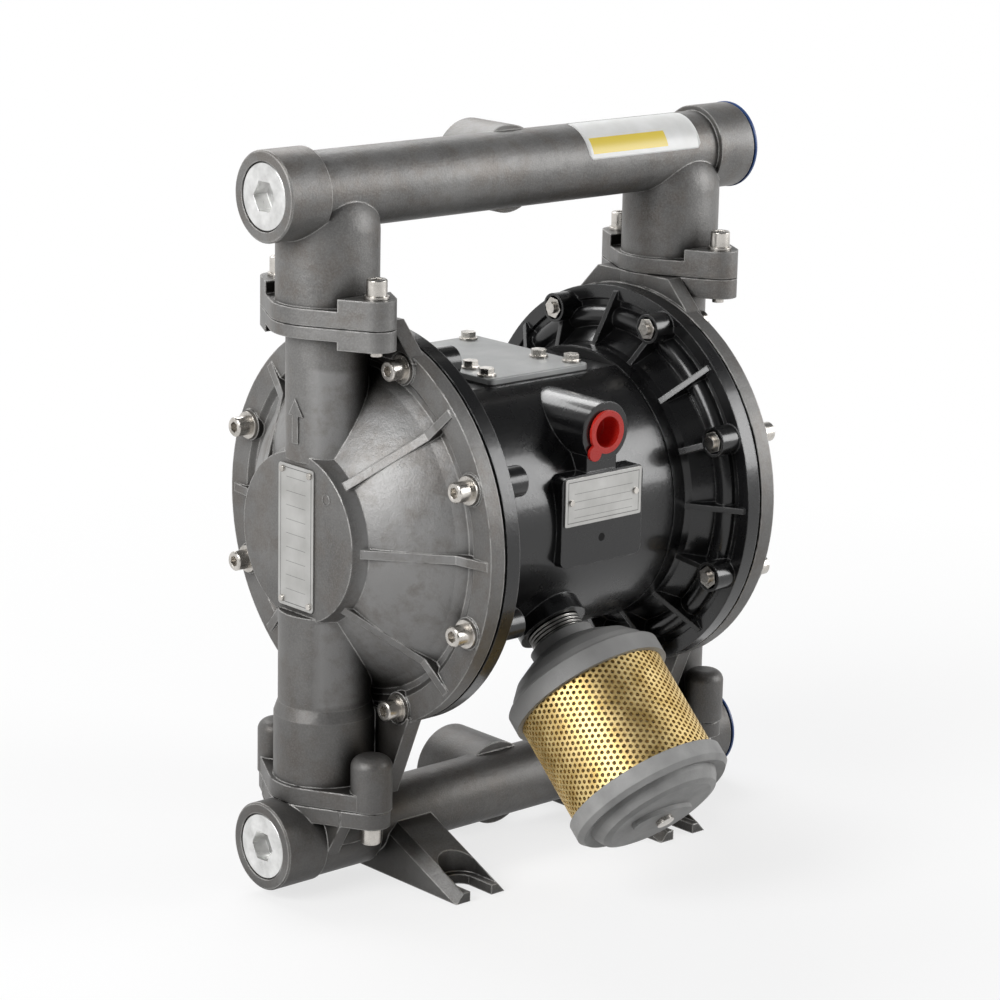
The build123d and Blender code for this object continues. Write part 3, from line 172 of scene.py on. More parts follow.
class Recipe:
    """A node graph being written, for a material or for the world."""

    def __init__(self, owner):
        self.owner = owner
        owner.use_nodes = True
        self.tree = owner.node_tree
        self.tree.nodes.clear()

    def node(self, kind, settings=None, sockets=None, output=0):
        """Adds a node: its settings first, then values or wires on its sockets."""
        new = self.tree.nodes.new("ShaderNode" + kind)
        for name, value in (settings or {}).items():
            setattr(new, name, value)
        for name, value in (sockets or {}).items():
            if isinstance(value, Wire):
                self.tree.links.new(value.socket, new.inputs[name])
            else:
                new.inputs[name].default_value = value
        return Wire(self, new.outputs[output]) if new.outputs else None

    def place(self):
        """Where a point is on the pump, as the piece carries it along when it moves."""
        return self.node("TexCoord", output="Object")

    def apart(self, vector):
        """X, Y and Z of a vector, as three wires."""
        x = self.node("SeparateXYZ", {}, {0: vector})
        return x, x.also("Y"), x.also("Z")

    def between(self, value, low, high, first=0.0, last=1.0):
        """Turns low to high into first to last, and stops at both ends."""
        return self.node("MapRange", {}, {"Value": value, "From Min": low, "From Max": high,
                                          "To Min": first, "To Max": last})

    def distance(self, x, y, z):
        """Length of the vector with these three parts."""
        return self.node("VectorMath", {"operation": "LENGTH"},
                         {0: self.node("CombineXYZ", {}, {0: x, 1: y, 2: z})}, output="Value")

    def ridges(self, along, pitch):
        """Waves from -1 to 1, one for each pitch, like the ridges of a thread."""
        return self.node("Math", {"operation": "SINE"}, {0: along * (2 * math.pi / pitch)})

    def scratches(self, squeeze, fineness):
        """Fine lines along the axis that squeeze makes the smallest."""
        squeezed = self.node("VectorMath", {"operation": "MULTIPLY"},
                             {0: self.place(), 1: squeeze})
        return self.node("TexNoise", {}, {"Vector": squeezed, "Scale": fineness,
                                          "Detail": 2.0})

    def mottle(self, size, detail=3.0, contrast=0.5):
        """Random blotches about size across, from 0 to 1."""
        return self.node("TexNoise", {}, {"Vector": self.place(), "Scale": 1 / size,
                                          "Detail": detail, "Roughness": contrast})

    def mix(self, mask, first, second):
        """Colour first where the mask is 0, second where it is 1."""
        return self.node("Mix", {"data_type": "RGBA"}, {0: mask, 6: first, 7: second}, output=2)

    def soft_edges(self, width):
        """The surface's direction, as if each sharp edge were rounded over width."""
        return self.node("Bevel", {"samples": 4}, {"Radius": width})

    def edge_mask(self, rounded, flat=0.995, edge=0.88):
        """1 on the rounded edges, 0 on the flats."""
        facing = self.node("VectorMath", {"operation": "DOT_PRODUCT"},
                           {0: rounded, 1: self.node("NewGeometry", output="Normal")},
                           output="Value")
        return self.between(facing, flat, edge)

    def crevice(self, reach, in_open=0.82, in_corner=0.35):
        """0 in the open, 1 deep in a corner that other surfaces shade."""
        openness = self.node("AmbientOcclusion", {"samples": 6}, {"Distance": reach},
                             output="AO")
        return self.between(openness, in_open, in_corner)

    def bump(self, height, depth, normal=None):
        """Relief of that depth where height goes from 0 to 1."""
        sockets = {"Strength": 1.0, "Distance": depth, "Height": height}
        if normal is not None:
            sockets["Normal"] = normal
        return self.node("Bump", {}, sockets)

    def seen_directly(self):
        """1 for what the camera, a mirror or a glass sees, 0 for what only gives light."""
        rays = self.node("LightPath", output="Is Camera Ray")
        seen = rays + rays.also("Is Glossy Ray") + rays.also("Is Transmission Ray")
        return self.node("Math", {"operation": "MINIMUM"}, {0: seen, 1: 1.0})

    def skin(self, sockets):
        """Ends a material with a principled shader."""
        shader = self.node("BsdfPrincipled", {}, sockets)
        self.node("OutputMaterial", {}, {"Surface": shader})
        return self.owner


print("ingredients:", [name for name in vars(Recipe) if not name.startswith("_")])

# %% [markdown]
# The castings, screws and caps have the right shape already, so a finish only has to reach
# their material slots. A model's node can hold many solids, such as all the washers, and each
# of its slots gets the same finish.

# %% Start a finish and give it to nodes


def material(name):
    """Starts the recipe of a new material."""
    return Recipe(bpy.data.materials.new(name))


def dress(finish, *names):
    """Gives whole nodes a finish."""
    for name in names:
        for slot in nodes[name].material_slots:
            slot.material = finish
    print(finish.name, "on", len(names), "nodes")


print("slots to fill:", sum(len(thing.material_slots) for thing in nodes.values()))

# %% [markdown]
# The studio is a pale sweep: a floor, and a world that is white round the horizon. What the
# camera, a mirror or a glass sees is set apart from what lights the pump, by the Light Path
# node. That keeps the background white with modest lamps. Shiny metal still needs something
# darker to reflect, overhead and in front, because that is what gives it its contrast.

# %% World
world = bpy.data.worlds.new("studio_world")
bpy.context.scene.world = world
sky = Recipe(world)
glossy = sky.node("LightPath", output="Is Glossy Ray")
sky_x, sky_y, sky_z = sky.apart(sky.node("TexCoord", output="Generated"))
overhead = sky.between(sky_z, 0.30, 0.70)
front_x, front_y = -0.67, -0.74
front = sky.between(sky_x * front_x + sky_y * front_y, 0.45, 0.80)
dark_side = sky.node("Math", {"operation": "MAXIMUM"}, {0: overhead, 1: front})
white, dim_studio = (1.0, 1.0, 1.0, 1.0), (0.12, 0.122, 0.125, 1.0)
shown = sky.node("Background", {}, {"Color": sky.mix(glossy * dark_side, white, dim_studio),
                                    "Strength": 1.0})
cool_white = (0.93, 0.96, 1.0, 1.0)
lighting = sky.node("Background", {}, {"Color": cool_white, "Strength": 0.14})
either = sky.node("MixShader", {}, {0: sky.seen_directly(), 1: lighting, 2: shown})
sky.node("OutputWorld", {}, {"Surface": either})
print("world:", world.name, "with", len(world.node_tree.nodes), "nodes")

# %% [markdown]
# The floor is paper that fades into the white world. Near the pump it is mostly a glow with a
# share of real paper, which holds the soft shadow under the feet, and further out it is glow
# alone. To the light it is a mid grey, so that it doesn't light the pump from below.

# %% Floor
floor_recipe = material("studio_floor")
seen = floor_recipe.seen_directly()
from_pump = floor_recipe.distance(*floor_recipe.apart(floor_recipe.place()))
fade_starts, fade_ends, glow_share = 0.25, 0.75, 0.74
lit_grey, seen_grey = (0.35, 0.35, 0.35, 1), (0.88, 0.88, 0.88, 1)
paper = floor_recipe.node("BsdfDiffuse", {},
                          {"Color": floor_recipe.mix(seen, lit_grey, seen_grey)})
glow = floor_recipe.node("Emission", {}, {"Color": white, "Strength": 1.0})
fade = floor_recipe.between(from_pump, fade_starts, fade_ends, glow_share, 1.0)
floor_recipe.node("OutputMaterial", {}, {"Surface": floor_recipe.node(
    "MixShader", {}, {0: seen * fade, 1: paper, 2: glow})})
floor_mesh = bpy.data.meshes.new("studio_floor")
reach = 6.0
floor_mesh.from_pydata([(-reach, -reach, 0), (reach, -reach, 0), (reach, reach, 0),
                        (-reach, reach, 0)], [], [(0, 1, 2, 3)])
floor = bpy.data.objects.new("studio_floor", floor_mesh)
under_feet = 0.2 * mm
floor.location.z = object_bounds()[0].z - under_feet
floor_mesh.materials.append(floor_recipe.owner)
bpy.context.scene.collection.objects.link(floor)
print("floor at", round(floor.location.z, 4))

# %% [markdown]
# Soft boxes are large rectangular lamps. The largest stands to the left of the camera and above
# it, and gives the round castings one broad highlight each. A second from the right lifts the
# black covers, and a strip behind and above draws a bright line along the rims.

# %% Soft boxes


def soft_box(name, place, width, height, power):
    """A rectangular lamp that faces the pump."""
    lamp_data = bpy.data.lights.new(name, "AREA")
    lamp_data.shape = "RECTANGLE"
    lamp_data.size, lamp_data.size_y = width, height
    lamp_data.energy = power
    lamp = bpy.data.objects.new(name, lamp_data)
    aim = Vector(place) - Vector((0, 0, shaft_height))
    lamp.matrix_world = (Matrix.Translation(place)
                         @ aim.to_track_quat("Z", "Y").to_matrix().to_4x4())
    bpy.context.scene.collection.objects.link(lamp)


soft_box("key_box", (-1.60, -0.10, 1.0), 0.9, 1.1, 27.0)
soft_box("right_box", (1.40, -1.25, 0.85), 0.8, 1.1, 21.0)
soft_box("rim_strip", (0.3, 1.2, 1.40), 1.6, 0.5, 18.0)

# %% [markdown]
# Blasted aluminium is grey, a little warm, and dull in a fine-grained way. Four sizes of
# pattern make it: broad stains from handling, brownish patches where it has aged, a grain the
# size of the blasting grit, and soft dents left by the mould. Its edges are lighter: partly
# rubbed bare, partly a painted highlight. Painted shade darkens the corners that other surfaces
# shade, and the body towards the bottom, down to just above the feet. The domes of the covers
# were blasted after the rest and are lighter, so the recipe works out the distance from the
# shaft and uses that as a mask. Threads in the open ports are rings of relief with the pitch of
# a pipe thread, only inside the bores.

# %% Cast aluminium
cast = material("cast_aluminium")
x, y, z = cast.apart(cast.place())
stain = cast.between(cast.mottle(0.045, detail=5.0, contrast=0.6), 0.35, 0.70)
grit = cast.mottle(0.0009, detail=2.0, contrast=0.7)
dents = cast.mottle(0.006, detail=2.0)
rounded = cast.soft_edges(0.0011)
# Lighter edges: partly rubbed bare metal, partly a painted highlight.
edge_wear_and_highlight = cast.edge_mask(rounded) * cast.between(cast.mottle(0.008), 0.30, 0.50)
from_shaft = cast.distance(0.0, y, z - shaft_height)
hub_edge, dome_edge, dome_foot, dome_top = 42.5 * mm, 86.0 * mm, 92.2 * mm, 133.0 * mm
on_dome = (cast.between(from_shaft, hub_edge, hub_edge + 1.5 * mm)
           * cast.between(from_shaft, dome_edge, dome_edge - 2.0 * mm)
           * (abs(x) > dome_foot) * cast.between(abs(x), dome_top, dome_top - 3.0 * mm))
patina = cast.between(cast.mottle(0.018, detail=6.0, contrast=0.7), 0.47, 0.62)
# Painted shade: darker towards the bottom, where less light reaches, fading out just above the
# feet.
feet_top, painted_shade_fades_above = 28.0 * mm, 270.0 * mm
low_painted_shade = (cast.between(z, painted_shade_fades_above, 45.0 * mm)
         * cast.between(z, feet_top - 10.0 * mm, feet_top))
dark_cast, light_cast = (0.125, 0.122, 0.118, 1), (0.218, 0.215, 0.209, 1)
blasted_dome, aged_brown = (0.320, 0.318, 0.314, 1), (0.125, 0.104, 0.086, 1)
bright_grit, edge_wear_highlight_colour = (0.34, 0.334, 0.324, 1), (0.62, 0.61, 0.59, 1)
low_shade_colour, corner_shade_colour = (0.060, 0.056, 0.053, 1), (0.020, 0.018, 0.016, 1)
tone = cast.mix(stain, dark_cast, light_cast)
tone = cast.mix(on_dome * 0.75, tone, blasted_dome)
tone = cast.mix(patina * 0.5, tone, aged_brown)
tone = cast.mix(cast.between(grit, 0.40, 0.75) * 0.35, tone, bright_grit)
# Painted shade low down on the body.
tone = cast.mix(low_painted_shade * 0.50, tone, low_shade_colour)
# Painted shade in corners that other surfaces shade.
tone = cast.mix(cast.crevice(0.040), tone, corner_shade_colour)
# Painted highlight on the edges, with some real rubbing.
tone = cast.mix(edge_wear_and_highlight * 0.8, tone, edge_wear_highlight_colour)
pipe_thread_pitch, port_radius, port_floor = 2.309 * mm, 15.4 * mm, 10.0 * mm


def port_threads(port_height):
    """Rings of relief along Y inside a rear port."""
    from_axis = cast.distance(x, 0.0, z - port_height)
    return cast.ridges(y, pipe_thread_pitch) * (from_axis < port_radius) * (y > port_floor)


threads = port_threads(outlet_height) + port_threads(inlet_height)
relief = cast.bump(grit * 0.5 + dents, 0.00026, rounded)
relief = cast.bump(threads, 0.0006, relief)
cast_finish = cast.skin({"Base Color": tone, "Metallic": 0.5,
                         "Roughness": cast.between(grit, 0.2, 0.8, 0.40, 0.54),
                         "Normal": relief})
dress(cast_finish, "outlet_manifold", "inlet_manifold", "left_fluid_cover", "right_fluid_cover")

# %% [markdown]
# Gloss black paint over a casting is a dark colour with a clear, sharp reflection, and the
# casting's waviness shows only in the reflections. A coat over a rougher base gives both at
# once. Sharp edges are a little lighter: partly thin paint, partly a painted highlight. The
# small drilled hole under the name plate is painted on as a dark, dull spot with no coat:
# painted shade for the hole's dark inside.

# %% Gloss black paint
paint = material("black_paint")
orange_peel = paint.mottle(0.0022, detail=1.0)
dust = paint.between(paint.mottle(0.030, detail=6.0, contrast=0.65), 0.50, 0.75)
rounded = paint.soft_edges(0.0010)
# Lighter edges on the paint: partly thin paint, partly a painted highlight.
thin_paint_edge_highlight = paint.edge_mask(rounded) * paint.between(paint.mottle(0.012), 0.40, 0.65)
clean_black, dusty_black = (0.006, 0.006, 0.0065, 1), (0.020, 0.020, 0.020, 1)
edge_highlight_grey, painted_hole_shade = (0.26, 0.26, 0.26, 1), (0.001, 0.001, 0.001, 1)
tone = paint.mix(dust * 0.5, clean_black, dusty_black)
# Painted highlight on the edges, with some thin paint.
tone = paint.mix(thin_paint_edge_highlight * 0.75, tone, edge_highlight_grey)
x, y, z = paint.apart(paint.place())
plate_low, plate_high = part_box("front_name_plate")
drill_radius, pad_starts = 2.1 * mm, -70.0 * mm
hole_x, hole_z = (plate_low.x + plate_high.x) / 2, plate_low.z - 8.5 * mm
# A painted hole: a dark, dull spot of painted shade with no coat, where the drilled hole is.
painted_hole = (paint.distance(x - hole_x, 0.0, z - hole_z) < drill_radius) * (y < pad_starts)
tone = paint.mix(painted_hole, tone, painted_hole_shade)
paint_finish = paint.skin({"Base Color": tone,
                           "Roughness": paint.between(dust, 0, 1, 0.27, 0.33) + painted_hole * 0.6,
                           "Specular IOR Level": 0.38, "Coat Weight": (1 - painted_hole) * 0.35,
                           "Coat Roughness": 0.12,
                           "Normal": paint.bump(orange_peel, 0.00006, rounded)})
dress(paint_finish, "centre_housing", "left_air_cover", "right_air_cover")

# %% [markdown]
# Stainless screws are turned and pressed, and their faces carry fine lines from the tool. All
# the small steel pieces share one bare metal recipe with a scratch pattern stretched along one
# direction: noise on a squeezed position. The recipe is a function, because plugs, screws and
# the hidden shaft differ only in colour and shine.

# %% Bare metals


def bare_metal(name, dark, bright, smooth, rough):
    """Metal with stains, fine scratches and softened edges."""
    metal = material(name)
    scratches = metal.scratches((0.25, 1.0, 1.0), 2600.0)
    stains = metal.mottle(0.006, detail=4.0)
    rounded = metal.soft_edges(0.5 * mm)
    tone = metal.mix(metal.between(stains, 0.3, 0.7), dark, bright)
    return metal.skin({"Base Color": tone, "Metallic": 1.0,
                       "Roughness": metal.between(stains + scratches, 0.6, 1.4, smooth, rough),
                       "Normal": metal.bump(scratches, 0.00003, rounded)})


stainless = bare_metal("stainless_steel", dark=(0.42, 0.40, 0.37, 1),
                       bright=(0.66, 0.63, 0.59, 1), smooth=0.22, rough=0.36)
zinc = bare_metal("zinc_plating", dark=(0.62, 0.62, 0.61, 1),
                  bright=(0.86, 0.86, 0.85, 1), smooth=0.26, rough=0.40)
bronze = bare_metal("bearing_bronze", dark=(0.35, 0.21, 0.09, 1),
                    bright=(0.60, 0.40, 0.19, 1), smooth=0.25, rough=0.45)
dress(stainless, "valve_cover_screws", "left_rim_bolts", "right_rim_bolts", "left_rim_washers",
      "right_rim_washers", "left_rim_nuts", "right_rim_nuts", "outlet_manifold_bolts",
      "inlet_manifold_bolts", "manifold_washers", "housing_screws", "muffler_tie_screw",
      "name_plate_rivets", "left_clamp_screw", "right_clamp_screw", "left_pilot_pin",
      "right_pilot_pin", "shaft", "left_inner_plate", "right_inner_plate", "left_outer_plate",
      "right_outer_plate", "valve_sleeve")
dress(zinc, "lower_port_plug", "upper_port_plug")
dress(bronze, "shaft_bushes")

# %% [markdown]
# The plate over the air valve is sprayed a flat light grey. Its faint grain is overspray:
# droplets that dried before they landed.

# %% Sprayed valve plate
spray = material("valve_plate_grey")
droplets = spray.mottle(0.0007, detail=2.0, contrast=0.6)
cloud = spray.mottle(0.02, detail=4.0)
rounded = spray.soft_edges(0.0006)
dark_grey, light_grey = (0.29, 0.295, 0.295, 1), (0.37, 0.375, 0.37, 1)
worn_edge_and_highlight = (0.66, 0.66, 0.65, 1)
tone = spray.mix(spray.between(cloud, 0.3, 0.7), dark_grey, light_grey)
# Lighter edges on the spray: partly worn paint, partly a painted highlight.
tone = spray.mix(spray.edge_mask(rounded) * 0.6, tone, worn_edge_and_highlight)
spray_finish = spray.skin({"Base Color": tone, "Metallic": 0.3,
                           "Roughness": spray.between(droplets, 0.3, 0.7, 0.40, 0.55),
                           "Normal": spray.bump(droplets, 0.00004, rounded)})
dress(spray_finish, "valve_cover")

# %% [markdown]
# Moulded plastics and rubbers are the simplest skins: one colour that drifts a little, a fine
# texture from the mould, and a shine that tells them apart. Soft caps shine most, the porous
# muffler core not at all. The muffler's lower cap gets a lighter copy of the same plastic:
# painted light, because the cap stands out in the light.

# %% Plastics and rubbers


def moulded(name, dark, light, rough, grain=0.0006, depth=0.00003, drift=0.02):
    """A moulded skin: colour drift, mould grain and softened edges."""
    skin = material(name)
    texture = skin.mottle(grain, detail=2.0)
    tone = skin.mix(skin.between(skin.mottle(drift, detail=3.0), 0.3, 0.7), dark, light)
    return skin.skin({"Base Color": tone,
                      "Roughness": skin.between(texture, 0.3, 0.7, rough - 0.05, rough + 0.07),
                      "Normal": skin.bump(texture, depth, skin.soft_edges(0.0006))})


muffler_grey = moulded("muffler_plastic", (0.225, 0.222, 0.218, 1), (0.305, 0.301, 0.295, 1),
                       0.50, grain=0.0011, depth=0.00008)
# A lighter copy of the muffler plastic: painted light on the lower cap.
muffler_lit_copy = moulded("muffler_plastic_painted_lit", (0.290, 0.287, 0.282, 1),
                        (0.400, 0.396, 0.388, 1), 0.55, grain=0.0011, depth=0.00010,
                        drift=0.012)
felt = moulded("muffler_felt", (0.420, 0.320, 0.160, 1), (0.600, 0.470, 0.260, 1), 0.95,
               grain=0.0015, depth=0.0004)
red = moulded("red_cap", (0.52, 0.018, 0.012, 1), (0.68, 0.032, 0.020, 1), 0.30)
blue = moulded("blue_cap", (0.020, 0.060, 0.200, 1), (0.035, 0.090, 0.280, 1), 0.34)
rubber = moulded("black_rubber", (0.010, 0.010, 0.010, 1), (0.022, 0.022, 0.022, 1), 0.70)
white_plastic = moulded("seat_plastic", (0.62, 0.61, 0.57, 1), (0.74, 0.73, 0.70, 1), 0.42)
dress(muffler_grey, "muffler_top_cap")
dress(muffler_lit_copy, "muffler_bottom_cap")
dress(felt, "muffler_core")
dress(red, "air_inlet_cap")
dress(blue, "upper_port_cap", "lower_port_cap")
dress(rubber, "left_diaphragm", "right_diaphragm", "shaft_seals", "housing_gaskets",
      "valve_gasket", "inlet_left_ball", "inlet_right_ball", "outlet_left_ball",
      "outlet_right_ball")
dress(white_plastic, "valve_spool", "inlet_left_seat", "inlet_right_seat", "outlet_left_seat",
      "outlet_right_seat")

# %% [markdown]
# Name plates are thin rolled metal with a satin brushed face and a printed frame. These plates
# are blanks: a border and ruled lines with nothing written in them. The lines come from the
# distance to the plate's edges and from a comb of narrow stripes.

# %% Blank name plates


def blank_plate(name, node, across, lines):
    """Satin plate with a printed border and ruled lines; across is the axis of its width."""
    plate = material(name)
    parts = plate.apart(plate.place())
    low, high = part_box(node)
    centre, half = (low + high) / 2, (high - low) / 2
    side = abs(parts[across] - centre[across])
    rise = parts[2] - centre.z
    height = abs(rise)
    inset, line, rule = 1.6 * mm, 0.4 * mm, 0.3 * mm
    side_margin, top_margin = 6.0 * mm, 4.0 * mm
    inside = (side < half[across] - inset) * (height < half.z - inset)
    core = (side < half[across] - inset - line) * (height < half.z - inset - line)
    border = inside - core
    pitch = (2 * half.z - 2 * top_margin) / lines
    from_below = rise + 1.0  # above zero all over the plate
    comb = plate.node("Math", {"operation": "FRACT"}, {0: from_below * (1 / pitch)})
    ruled = ((comb < rule / pitch) * (side < half[across] - side_margin)
             * (height < half.z - top_margin))
    printed = plate.node("Math", {"operation": "MINIMUM"}, {0: border + ruled * 0.7, 1: 1.0})
    scratches = plate.scratches((1.0, 1.0, 0.05), 2400.0)
    cloud = plate.mottle(0.015, detail=4.0)
    dull, bright, ink = (0.42, 0.415, 0.40, 1), (0.55, 0.545, 0.53, 1), (0.05, 0.05, 0.05, 1)
    tone = plate.mix(plate.between(cloud, 0.3, 0.7), dull, bright)
    tone = plate.mix(printed * 0.75, tone, ink)
    return plate.skin({"Base Color": tone, "Metallic": 0.75,
                       "Roughness": plate.between(scratches, 0.3, 0.7, 0.30, 0.46),
                       "Normal": plate.bump(scratches, 0.00002, plate.soft_edges(0.0003))})


dress(blank_plate("front_plate_satin", "front_name_plate", 0, 4), "front_name_plate")
dress(blank_plate("side_plate_satin", "side_name_plate", 1, 9), "side_name_plate")

# %% [markdown]
# The muffler hangs at an angle, so its pieces are built along Z and then turned onto its axis.
# One angle and a starting point fix that axis: it leaves the shaft a little left of the middle
# and leans down towards the front.

# %% The muffler's own axis
muffler_x, below_level = -14.3 * mm, math.radians(43.4)
muffler_root = Vector((muffler_x, 0.0, shaft_height))
muffler_axis = Vector((0.0, -math.cos(below_level), -math.sin(below_level)))
muffler_turn = (Matrix.Translation(muffler_root)
                @ Vector((0, 0, 1)).rotation_difference(muffler_axis).to_matrix().to_4x4())
print("muffler leans", round(math.degrees(muffler_axis.angle(Vector((0, 0, -1)))), 1),
      "degrees from straight down")

# %% [markdown]
# The nipple that carries the muffler is a threaded steel tube with a collar. Its thread is
# relief again, this time measured along the muffler's axis with a dot product.

# %% Threaded nipple
nipple = material("threaded_nipple")
along = nipple.node("VectorMath", {"operation": "DOT_PRODUCT"},
                    {0: nipple.place(), 1: muffler_axis}, output="Value")
ridge = nipple.ridges(along, 1.8 * mm)
dull_steel, bright_steel = (0.22, 0.215, 0.205, 1), (0.42, 0.41, 0.39, 1)
tone = nipple.mix(nipple.between(nipple.mottle(0.004), 0.3, 0.7), dull_steel, bright_steel)
nipple_finish = nipple.skin({"Base Color": tone, "Metallic": 1.0,
                             "Roughness": nipple.between(ridge, -1, 1, 0.42, 0.28),
                             "Normal": nipple.bump(ridge, 0.0003, nipple.soft_edges(0.0004))})
dress(nipple_finish, "muffler_nipple")

# %% [markdown]
# Perforated sheet could be a flat cylinder with see-through dots, but real holes have walls
# that catch the light. Holes stand in staggered rows, so the sheet splits into six-sided cells
# with one hole in each. A cell is a ring of faces between its outline and its round hole, and
# neighbours share the outline's points. The sheet is rolled by reading the distance across it
# as an angle.

# %% Sizes of the perforated sheet
sheet_radius, sheet_wall = 38.7 * mm, 1.0 * mm
sheet_start, sheet_end = 113.3 * mm, 176.7 * mm
columns_round = 90
column_width = 2 * math.pi * sheet_radius / columns_round
pitch = 2 * column_width / math.sqrt(3)
hole_radius = 0.33 * pitch
rows = int((sheet_end - sheet_start) / pitch - 0.5)
print("holes:", rows * columns_round, "of", round(2 * hole_radius / mm, 2), "mm")

# %% [markdown]
# Two cells that touch work out the same outline point, each from its own middle, and the two
# results differ by a rounding error. So a point is looked up by its place on a fine grid, in
# twelfths of a column and eighths of a row, and is made only once.

# %% Points of the perforated sheet
points, faces, shared = [], [], {}
column_parts, row_parts = 12, 8


def sheet_point(across, along_axis, depth=0.0):
    """Where a point of the flat sheet is once the sheet is rolled."""
    angle, radius = across / sheet_radius, sheet_radius - depth
    return radius * math.cos(angle), radius * math.sin(angle), along_axis


def shared_point(across, along_axis):
    """Number of a point on a cell's outline, made once however many cells ask for it."""
    key = (round(across / column_width * column_parts) % (column_parts * columns_round),
           round((along_axis - sheet_start) / pitch * row_parts))
    if key not in shared:
        shared[key] = len(points)
        points.append(sheet_point(across, along_axis))
    return shared[key]


spokes = 12  # to a cell's six corners and the middles of its six sides
for column in range(columns_round):
    for row in range(rows):
        across = column * column_width
        along_axis = sheet_start + (row + 0.5 + 0.5 * (column % 2)) * pitch
        outline, hole, hole_floor = [], [], []
        for spoke in range(spokes):
            angle = 2 * math.pi * spoke / spokes
            far = pitch / 2 if spoke % 2 else pitch / math.sqrt(3)
            outline.append(shared_point(across + far * math.cos(angle),
                                        along_axis + far * math.sin(angle)))
            for ring, depth in ((hole, 0.0), (hole_floor, sheet_wall)):
                ring.append(len(points))
                points.append(sheet_point(across + hole_radius * math.cos(angle),
                                          along_axis + hole_radius * math.sin(angle), depth))
        for spoke in range(spokes):
            after = (spoke + 1) % spokes
            faces.append((outline[spoke], outline[after], hole[after], hole[spoke]))
            faces.append((hole[spoke], hole[after], hole_floor[after], hole_floor[spoke]))
print("sheet:", len(points), "points,", len(faces), "faces")

# %% [markdown]
# The sheet is brass coloured: a metal whose tone drifts from straw to bronze. A helper turns
# points and faces into a piece, and says which body the piece rides on and which finish it
# stands for. The sheet replaces the plain sleeve, which is hidden but stays in the scene.
# The sheet replaces the plain sleeve, which stays behind for collision.

# %% Perforated muffler sleeve


def new_piece(name, points, faces, finish, body, smooth=True):
    """Makes a mesh piece that rides on a body."""
    mesh = bpy.data.meshes.new(name)
    mesh.from_pydata(points, [], faces)
    mesh.validate()
    mesh.polygons.foreach_set("use_smooth", [smooth] * len(mesh.polygons))
    mesh.materials.append(finish)
    thing = bpy.data.objects.new(name, mesh)
    bpy.context.scene.collection.objects.link(thing)
    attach(thing, body)
    return thing


brass = material("perforated_brass")
cloud = brass.mottle(0.010, detail=4.0)
bronze_tone, straw_tone = (0.62, 0.43, 0.15, 1), (0.86, 0.68, 0.33, 1)
tone = brass.mix(brass.between(cloud, 0.3, 0.7), bronze_tone, straw_tone)
brass_finish = brass.skin({"Base Color": tone, "Metallic": 0.9,
                           "Roughness": brass.between(cloud, 0.3, 0.7, 0.42, 0.54),
                           "Normal": brass.bump(brass.mottle(0.0008), 0.00002)})
rolled_points = [muffler_turn @ Vector(point) for point in points]
sheet = new_piece("perforated_sleeve", rolled_points, faces, brass_finish, "pump",
                  smooth=False)
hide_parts("muffler_sleeve")
print(sheet.name, "stands for muffler_sleeve")

# %% [markdown]
# The label on the outlet pipe is a bare sticker: white film with one yellow band and nothing
# printed on it. It is a patch of the pipe's own cylinder, a hair's breadth larger, with the
# corners cut round. Its thickness matters, because the edge casts the thin line of shadow that
# makes a sticker look stuck on.

# %% Patch round the outlet pipe
label_start, label_end = 38.0 * mm, 116.0 * mm
label_low, label_high = math.radians(9.7), math.radians(90.0)
pipe_radius, film_lift, film_sink = 19.2 * mm, 0.15 * mm, 0.05 * mm
columns, steps = 40, 24
corner = 2.5 * mm
points, faces = [], []
for layer_radius in (pipe_radius + film_lift, pipe_radius - film_sink):
    for column in range(columns + 1):
        place_x = label_start + (label_end - label_start) * column / columns
        from_end = min(place_x - label_start, label_end - place_x)
        trim = corner - math.sqrt(max(corner**2 - (corner - min(from_end, corner))**2, 0.0))
        low, high = label_low + trim / pipe_radius, label_high - trim / pipe_radius
        for step in range(steps + 1):
            angle = low + (high - low) * step / steps
            points.append((place_x, -layer_radius * math.cos(angle),
                           outlet_height + layer_radius * math.sin(angle)))
sheet_size = (columns + 1) * (steps + 1)


def grid_point(column, step, layer=0):
    """Number of a point in the sticker's grid."""
    return layer * sheet_size + column * (steps + 1) + step


for column in range(columns):
    for step in range(steps):
        for layer in (0, 1):
            faces.append((grid_point(column, step, layer), grid_point(column + 1, step, layer),
                          grid_point(column + 1, step + 1, layer),
                          grid_point(column, step + 1, layer)))
rim = ([(column, 0) for column in range(columns)] + [(columns, step) for step in range(steps)]
       + [(columns - column, steps) for column in range(columns)]
       + [(0, steps - step) for step in range(steps)])
for here, there in zip(rim, rim[1:] + rim[:1]):
    faces.append((grid_point(*here), grid_point(*there), grid_point(*there, 1),
                  grid_point(*here, 1)))
print("sticker", round((label_end - label_start) / mm), "mm long,", len(faces), "faces")

# %% [markdown]
# The band is part of the film's colour and not a second piece, because it is printed. The angle
# round the pipe gives its lower and upper edge, and X gives its ends.

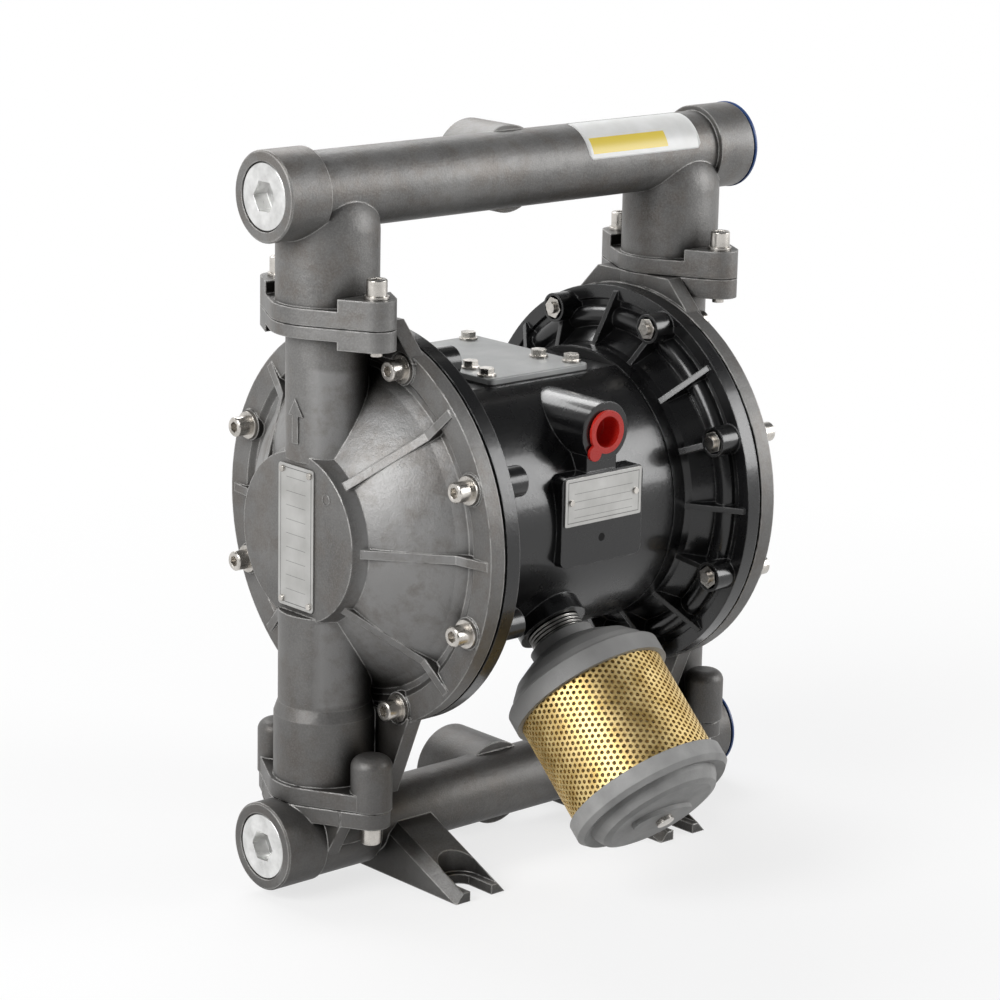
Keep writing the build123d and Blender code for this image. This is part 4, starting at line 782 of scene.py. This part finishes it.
# %% Sticker film
film = material("sticker_film")
x, y, z = film.apart(film.place())
around_pipe = film.node("Math", {"operation": "ARCTAN2"}, {0: z - outlet_height, 1: 0.0 - y})
band_low, band_high = math.radians(18), math.radians(44)
band_start, band_end = 41.0 * mm, 93.0 * mm
band = ((around_pipe > band_low) * (around_pipe < band_high)
        * (x > band_start) * (x < band_end))
dull_white, clean_white = (0.80, 0.80, 0.78, 1), (0.90, 0.90, 0.89, 1)
yellow = (0.88, 0.68, 0.10, 1)
tone = film.mix(film.between(film.mottle(0.01), 0.3, 0.7), dull_white, clean_white)
tone = film.mix(band, tone, yellow)
film_finish = film.skin({"Base Color": tone, "Roughness": 0.32,
                         "Normal": film.bump(film.mottle(0.004), 0.00002)})
new_piece("pipe_sticker", points, faces, film_finish, "pump")
print("band", round((band_end - band_start) / mm), "mm long")

# %% [markdown]
# An arrow cast on the left column shows which way the fluid goes. It stands barely a millimetre
# proud. Slices straight up and down the column are the easy way to bend a flat outline round
# it, because each slice stays straight.

# %% Raised arrow on the left column
column_radius = 20.0 * mm
arrow_rise, arrow_root = 0.7 * mm, 0.3 * mm
arrow_low, arrow_neck, arrow_tip = 226.5 * mm, 240.0 * mm, 248.5 * mm
half_stem, half_head = 2.0 * mm, 5.0 * mm
arrow_facing = math.radians(184.0)
shoulder, tip_edge = 0.01 * mm, 0.02 * mm
right_slices = [1.0 * mm, half_stem, half_stem + shoulder, 3.5 * mm, half_head]
slices = [-across for across in reversed(right_slices)] + [0.0] + right_slices
points, faces = [], []
for across in slices:
    low = arrow_low if abs(across) <= half_stem else arrow_neck
    high = (arrow_neck + (arrow_tip - arrow_neck) * (1 - abs(across) / half_head)
            + tip_edge)
    angle = arrow_facing + across / column_radius
    for radius in (column_radius - arrow_root, column_radius + arrow_rise):
        for height in (low, high):
            points.append((leg_x + radius * math.cos(angle), radius * math.sin(angle), height))
for number in range(len(slices) - 1):
    a, b = 4 * number, 4 * (number + 1)
    faces += [(a + 2, b + 2, b + 3, a + 3), (a, b, b + 2, a + 2), (a + 3, b + 3, b + 1, a + 1)]
last = 4 * (len(slices) - 1)
faces += [(0, 2, 3, 1), (last, last + 1, last + 3, last + 2)]
new_piece("flow_arrow", points, faces, cast_finish, "pump", smooth=False)
print("arrow", round((arrow_tip - arrow_low) / mm, 1), "mm tall")

# %% [markdown]
# The mould for the left cover leaves a small raised ring on the hub's face, where an ejector
# pin pushed the casting out. It is a torus half sunk into the face.

# %% Ejector ring on the hub
ring_centre = Vector((-132.0, -22.2, 202.5)) * mm
ring_radius, wire_radius = 2.6 * mm, 0.35 * mm
turns, sides = 36, 8
points, faces = [], []
for turn_step in range(turns):
    angle = 2 * math.pi * turn_step / turns
    for side_step in range(sides):
        tilt = 2 * math.pi * side_step / sides
        out = ring_radius + wire_radius * math.cos(tilt)
        points.append(ring_centre + Vector((wire_radius * math.sin(tilt), out * math.cos(angle),
                                            out * math.sin(angle))))
        nxt, up_step = (turn_step + 1) % turns, (side_step + 1) % sides
        faces.append((turn_step * sides + side_step, nxt * sides + side_step,
                      nxt * sides + up_step, turn_step * sides + up_step))
new_piece("ejector_ring", points, faces, cast_finish, "pump")
print("ring at", [round(value / mm) for value in ring_centre])

# %% [markdown]
